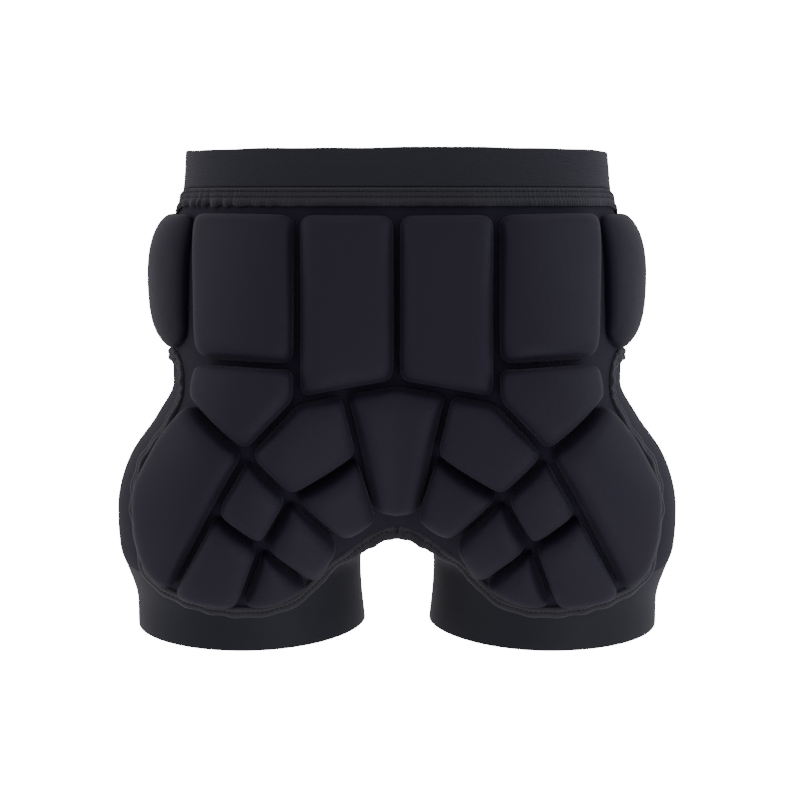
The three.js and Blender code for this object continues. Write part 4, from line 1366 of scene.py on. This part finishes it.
# Insets of the rings near a pad's edge, the spacing of points on its cover and round it, and the
# rings of its wall, in millimetres
EDGE_INSETS = (0.0, 0.5, 1.2, 2.2, 3.5)
COVER_SPACING = 3.2
EDGE_SPACING = 2.6
FEWEST_STEPS = 3
WALL_RINGS = 3

# A crowned pad has a lower wall, and it and the back pads have rounder corners. No cover stays flatter
# than LEAST_SKIN, and each eases up and down slowly over the form.
CROWNED_WALL = 0.16
ROUNDER = 1.5
LEAST_SKIN = 0.8
EASE = 0.3
EASE_LENGTHS = (31, 47)


def between_rings(rings, count):
    """Corners of the four-sided faces between rings of points that lie one after another."""
    return [
        (ring + i, ring + (i + 1) % count, ring + count + (i + 1) % count, ring + count + i)
        for ring in range(0, rings * count, count) for i in range(count)]


def pad_mesh(name, corners, crowned):
    """One foam pad: low walls, and a cover stretched softly over the foam."""
    size = sizes()
    thickness = mm(size.side_thickness if crowned else size.pad_thickness)
    reach = mm(size.side_shoulder if crowned else size.pad_shoulder)
    wall = thickness * (CROWNED_WALL if crowned else size.pad_wall)
    radius = mm(size.pad_corner) * (ROUNDER if crowned or name.startswith("back_pad") else 1)
    lengths = np.linalg.norm(np.roll(corners, -1, axis=0) - corners, axis=1)
    edge_steps = np.maximum(np.round(lengths / EDGE_SPACING), FEWEST_STEPS).astype(int)
    rings = [rounded(inset(corners, distance), radius, edge_steps) for distance in EDGE_INSETS]
    count = len(rings[0])
    top, top_faces = filled(rings[-1], COVER_SPACING)
    base, base_faces = filled(rings[0], 2 * COVER_SPACING)
    skin = np.vstack([*rings, top])
    last = (len(rings) - 1) * count
    skin_faces = [
        half for a, b, c, d in between_rings(len(rings) - 1, count) for half in ((a, b, c), (a, c, d))]
    skin_faces += [tuple(last + n for n in face) for face in top_faces]
    edge = np.arange(len(skin)) < count
    height = stretched_skin(skin, np.array(skin_faces), edge, reach)
    height /= max(height.max(), LEAST_SKIN)
    rise = wall + (thickness - wall) * np.sqrt(height * (2 - height))
    below = WALL_RINGS * count
    bed = below + len(skin)
    chart = np.vstack([np.tile(rings[0], (WALL_RINGS, 1)), skin, base])
    lift = np.concatenate([
        np.repeat(wall * np.arange(WALL_RINGS) / WALL_RINGS, count), rise, np.zeros(len(base))])
    faces = [tuple(below + n for n in face) for face in skin_faces] + between_rings(WALL_RINGS, count)
    faces += [tuple(n if n < count else bed + n - count for n in face) for face in base_faces]
    ease = np.sin(np.sum(chart / EASE_LENGTHS, axis=1)) * np.clip(lift / thickness, 0, 1) ** 2
    places = FORM.lifted(chart[:, 0], chart[:, 1], CLOTH + SEAM_CLEARANCE + lift + EASE * ease)
    pad = mesh_piece(name, places, faces, chart * (1, -1))
    pad.data.attributes.new("height", "FLOAT", "POINT").data.foreach_set("value", lift / thickness)
    held = pad.vertex_groups.new(name="held")
    held.add([*range(below + count), *range(bed, len(chart))], 1, "REPLACE")
    in_edit_mode(pad, face_outwards)
    return pad


FOAM = {
    "quality": 5,
    "mass": 0.3,
    "tension_stiffness": 12,
    "compression_stiffness": 12,
    "bending_stiffness": 2,
    "use_pressure": True,
    "uniform_pressure_force": 4,
    "vertex_group_mass": "held",
}
SWELL_STEPS = 20


def swell(pads):
    """Swells the pads with a short cloth simulation and caps how far each point moves."""
    before = {pad: points_of(pad) for pad in pads}
    for pad in pads:
        activate(pad)
        cloth = pad.modifiers.new("Cloth", "CLOTH")
        for name, value in FOAM.items():
            setattr(cloth.settings, name, value)
        cloth.settings.effector_weights.gravity = 0
        cloth.collision_settings.use_self_collision = False
        cloth.point_cache.frame_start, cloth.point_cache.frame_end = 1, SWELL_STEPS
    scene = bpy.context.scene
    for step in range(1, SWELL_STEPS + 1):
        scene.frame_set(step)
    graph = bpy.context.evaluated_depsgraph_get()
    most = sizes().pad_swell
    for pad in pads:
        settled = pad.evaluated_get(graph)
        move = mesh_points(settled.to_mesh()) - before[pad]
        settled.to_mesh_clear()
        pad.modifiers.clear()
        far = np.linalg.norm(move, axis=1, keepdims=True)
        set_points(pad, before[pad] + move * np.minimum(1, most / np.maximum(far, 1e-9)))
    scene.frame_set(1)


class SHORTS_OT_pads(bpy.types.Operator):
    """Adds the covered foam pads"""
    bl_idname = "shorts.pads"
    bl_label = "Foam pads"

    def execute(self, context):
        groove = mm(sizes().pad_groove)
        pads = {}
        for name, marks in PADS.items():
            corners = np.array([mark_point(mark) for mark in marks])
            if name == MIDDLE_PAD:
                corners = np.vstack([corners, corners[:0:-1] * (-1, 1)])
            pads[name] = pad_mesh(f"{name}_cover", inset(corners, groove / 2), name == "side_pad")
        swell(list(pads.values()))
        # The covers carry painted shade low in the grooves between the pads
        cover = knit(
            "pad cover", colours().cover, FINE_GAUGE, roughness=0.6, sheen=0.09, groove_shade=colours().groove)
        for name, pad in pads.items():
            apply_modifier(pad, "SUBSURF", levels=1, render_levels=1)
            smooth(pad, 180)
            pair = {"": pad}
            if name != MIDDLE_PAD:
                pad.name = pad.data.name = f"{name}_cover_right"
                pair = {"_right": pad, "_left": mirrored_copy(pad, f"{name}_cover_left")}
            for word, piece in pair.items():
                finish_piece(piece, cover, "pad_cover", name + word)
        return {"FINISHED"}


# The photo's camera in metres, with its focal length in the photo's pixels, and the stage
CAMERA_PLACE = Vector((0.0023, -1.150, -0.0195))
CAMERA_AIM = Vector((0.0023, 0, -0.1755))
FOCAL_PIXELS = 1488
PHOTO_WIDTH = 800
SENSOR = 36
ROOM_LIGHT = 0.56
PALE_LIGHT = 16
FLOOR_PLACE = (0, 0, -0.62)
FLOOR_RADIUS = 6
BACKDROP_RADIUS = 6.2

# Soft lights, all aimed at the middle of the shorts: their place, size, power and colour
LIGHT_AIM = Vector((0, 0, -0.17))
LIGHTS = {
    "soft_left": ((-1.7, -0.3, 0.3), (0.8, 1.4), 3.7, (1, 1, 1)),
    "soft_right": ((1.7, -0.3, 0.3), (0.8, 1.4), 5.8, (0.78, 0.93, 1)),
    "soft_low": ((0.8, -1.3, -1.1), (1, 1), 5, (0.86, 0.92, 1)),
}


def area_light(name, place, size, power, tint):
    deselect()
    bpy.ops.object.light_add(type="AREA", location=place)
    light = bpy.context.object
    light.name = name
    light.data.shape = "RECTANGLE"
    light.data.size, light.data.size_y = size
    light.data.energy = power
    light.data.color = tint
    light.rotation_euler = (LIGHT_AIM - Vector(place)).to_track_quat("-Z", "Y").to_euler()


def pale_stage(piece, name):
    """Makes a piece plain and pale, and seen by the camera alone, so that it doesn't light the shorts."""
    piece.name = name
    paint = bpy.data.materials.new(name)
    paint.use_nodes = True
    shader = paint.node_tree.nodes["Principled BSDF"]
    shader.inputs["Base Color"].default_value = (*colours().floor, 1)
    shader.inputs["Roughness"].default_value = 0.9
    shader.inputs["Emission Color"].default_value = (1, 1, 1, 1)
    shader.inputs["Emission Strength"].default_value = PALE_LIGHT
    piece.data.materials.append(paint)
    piece.visible_diffuse = piece.visible_glossy = piece.visible_shadow = False


class SHORTS_OT_studio(bpy.types.Operator):
    """Adds the floor, soft lights and the camera"""
    bl_idname = "shorts.studio"
    bl_label = "Studio"

    def execute(self, context):
        deselect()
        bpy.ops.mesh.primitive_circle_add(
            vertices=64, radius=FLOOR_RADIUS, fill_type="NGON", location=FLOOR_PLACE)
        pale_stage(bpy.context.object, "studio_floor")
        deselect()
        bpy.ops.mesh.primitive_uv_sphere_add(
            segments=48, ring_count=24, radius=BACKDROP_RADIUS, location=FLOOR_PLACE)
        pale_stage(bpy.context.object, "studio_backdrop")
        world = bpy.data.worlds.new("studio")
        world.use_nodes = True
        world.node_tree.nodes["Background"].inputs["Color"].default_value = (1, 1, 1, 1)
        world.node_tree.nodes["Background"].inputs["Strength"].default_value = ROOM_LIGHT
        context.scene.world = world
        for name, (place, size, power, tint) in LIGHTS.items():
            area_light(name, place, size, power, tint)
        deselect()
        bpy.ops.object.camera_add(location=CAMERA_PLACE)
        camera = bpy.context.object
        camera.name = "photo_camera"
        camera.rotation_euler = (CAMERA_AIM - CAMERA_PLACE).to_track_quat("-Z", "Y").to_euler()
        camera.data.sensor_width = SENSOR
        camera.data.lens = FOCAL_PIXELS / PHOTO_WIDTH * SENSOR
        context.scene.camera = camera
        return {"FINISHED"}


STEPS = (
    SHORTS_OT_waistband, SHORTS_OT_waist_seam, SHORTS_OT_cloth, SHORTS_OT_bindings, SHORTS_OT_pads,
    SHORTS_OT_studio,
)


class SHORTS_PT_panel(bpy.types.Panel):
    """Lists the steps and sizes of the shorts"""
    bl_label = "Padded shorts"
    bl_idname = "SHORTS_PT_panel"
    bl_space_type = "VIEW_3D"
    bl_region_type = "UI"
    bl_category = "Shorts"

    def draw(self, context):
        for step in STEPS:
            self.layout.operator(step.bl_idname)
        for group in (context.scene.shorts_sizes, context.scene.shorts_colours):
            for name in group.__annotations__:
                self.layout.prop(group, name)


CLASSES = (ShortsSizes, ShortsColours, *STEPS, SHORTS_PT_panel)


def register():
    for item in CLASSES:
        bpy.utils.register_class(item)
    bpy.types.Scene.shorts_sizes = bpy.props.PointerProperty(type=ShortsSizes)
    bpy.types.Scene.shorts_colours = bpy.props.PointerProperty(type=ShortsColours)


def unregister():
    del bpy.types.Scene.shorts_sizes
    del bpy.types.Scene.shorts_colours
    for item in reversed(CLASSES):
        bpy.utils.unregister_class(item)


def main():
    register()
    bpy.ops.shorts.waistband()
    bpy.ops.shorts.waist_seam()
    bpy.ops.shorts.cloth()
    bpy.ops.shorts.bindings()
    bpy.ops.shorts.pads()
    bpy.ops.shorts.studio()


if __name__ == "__main__":
    main()
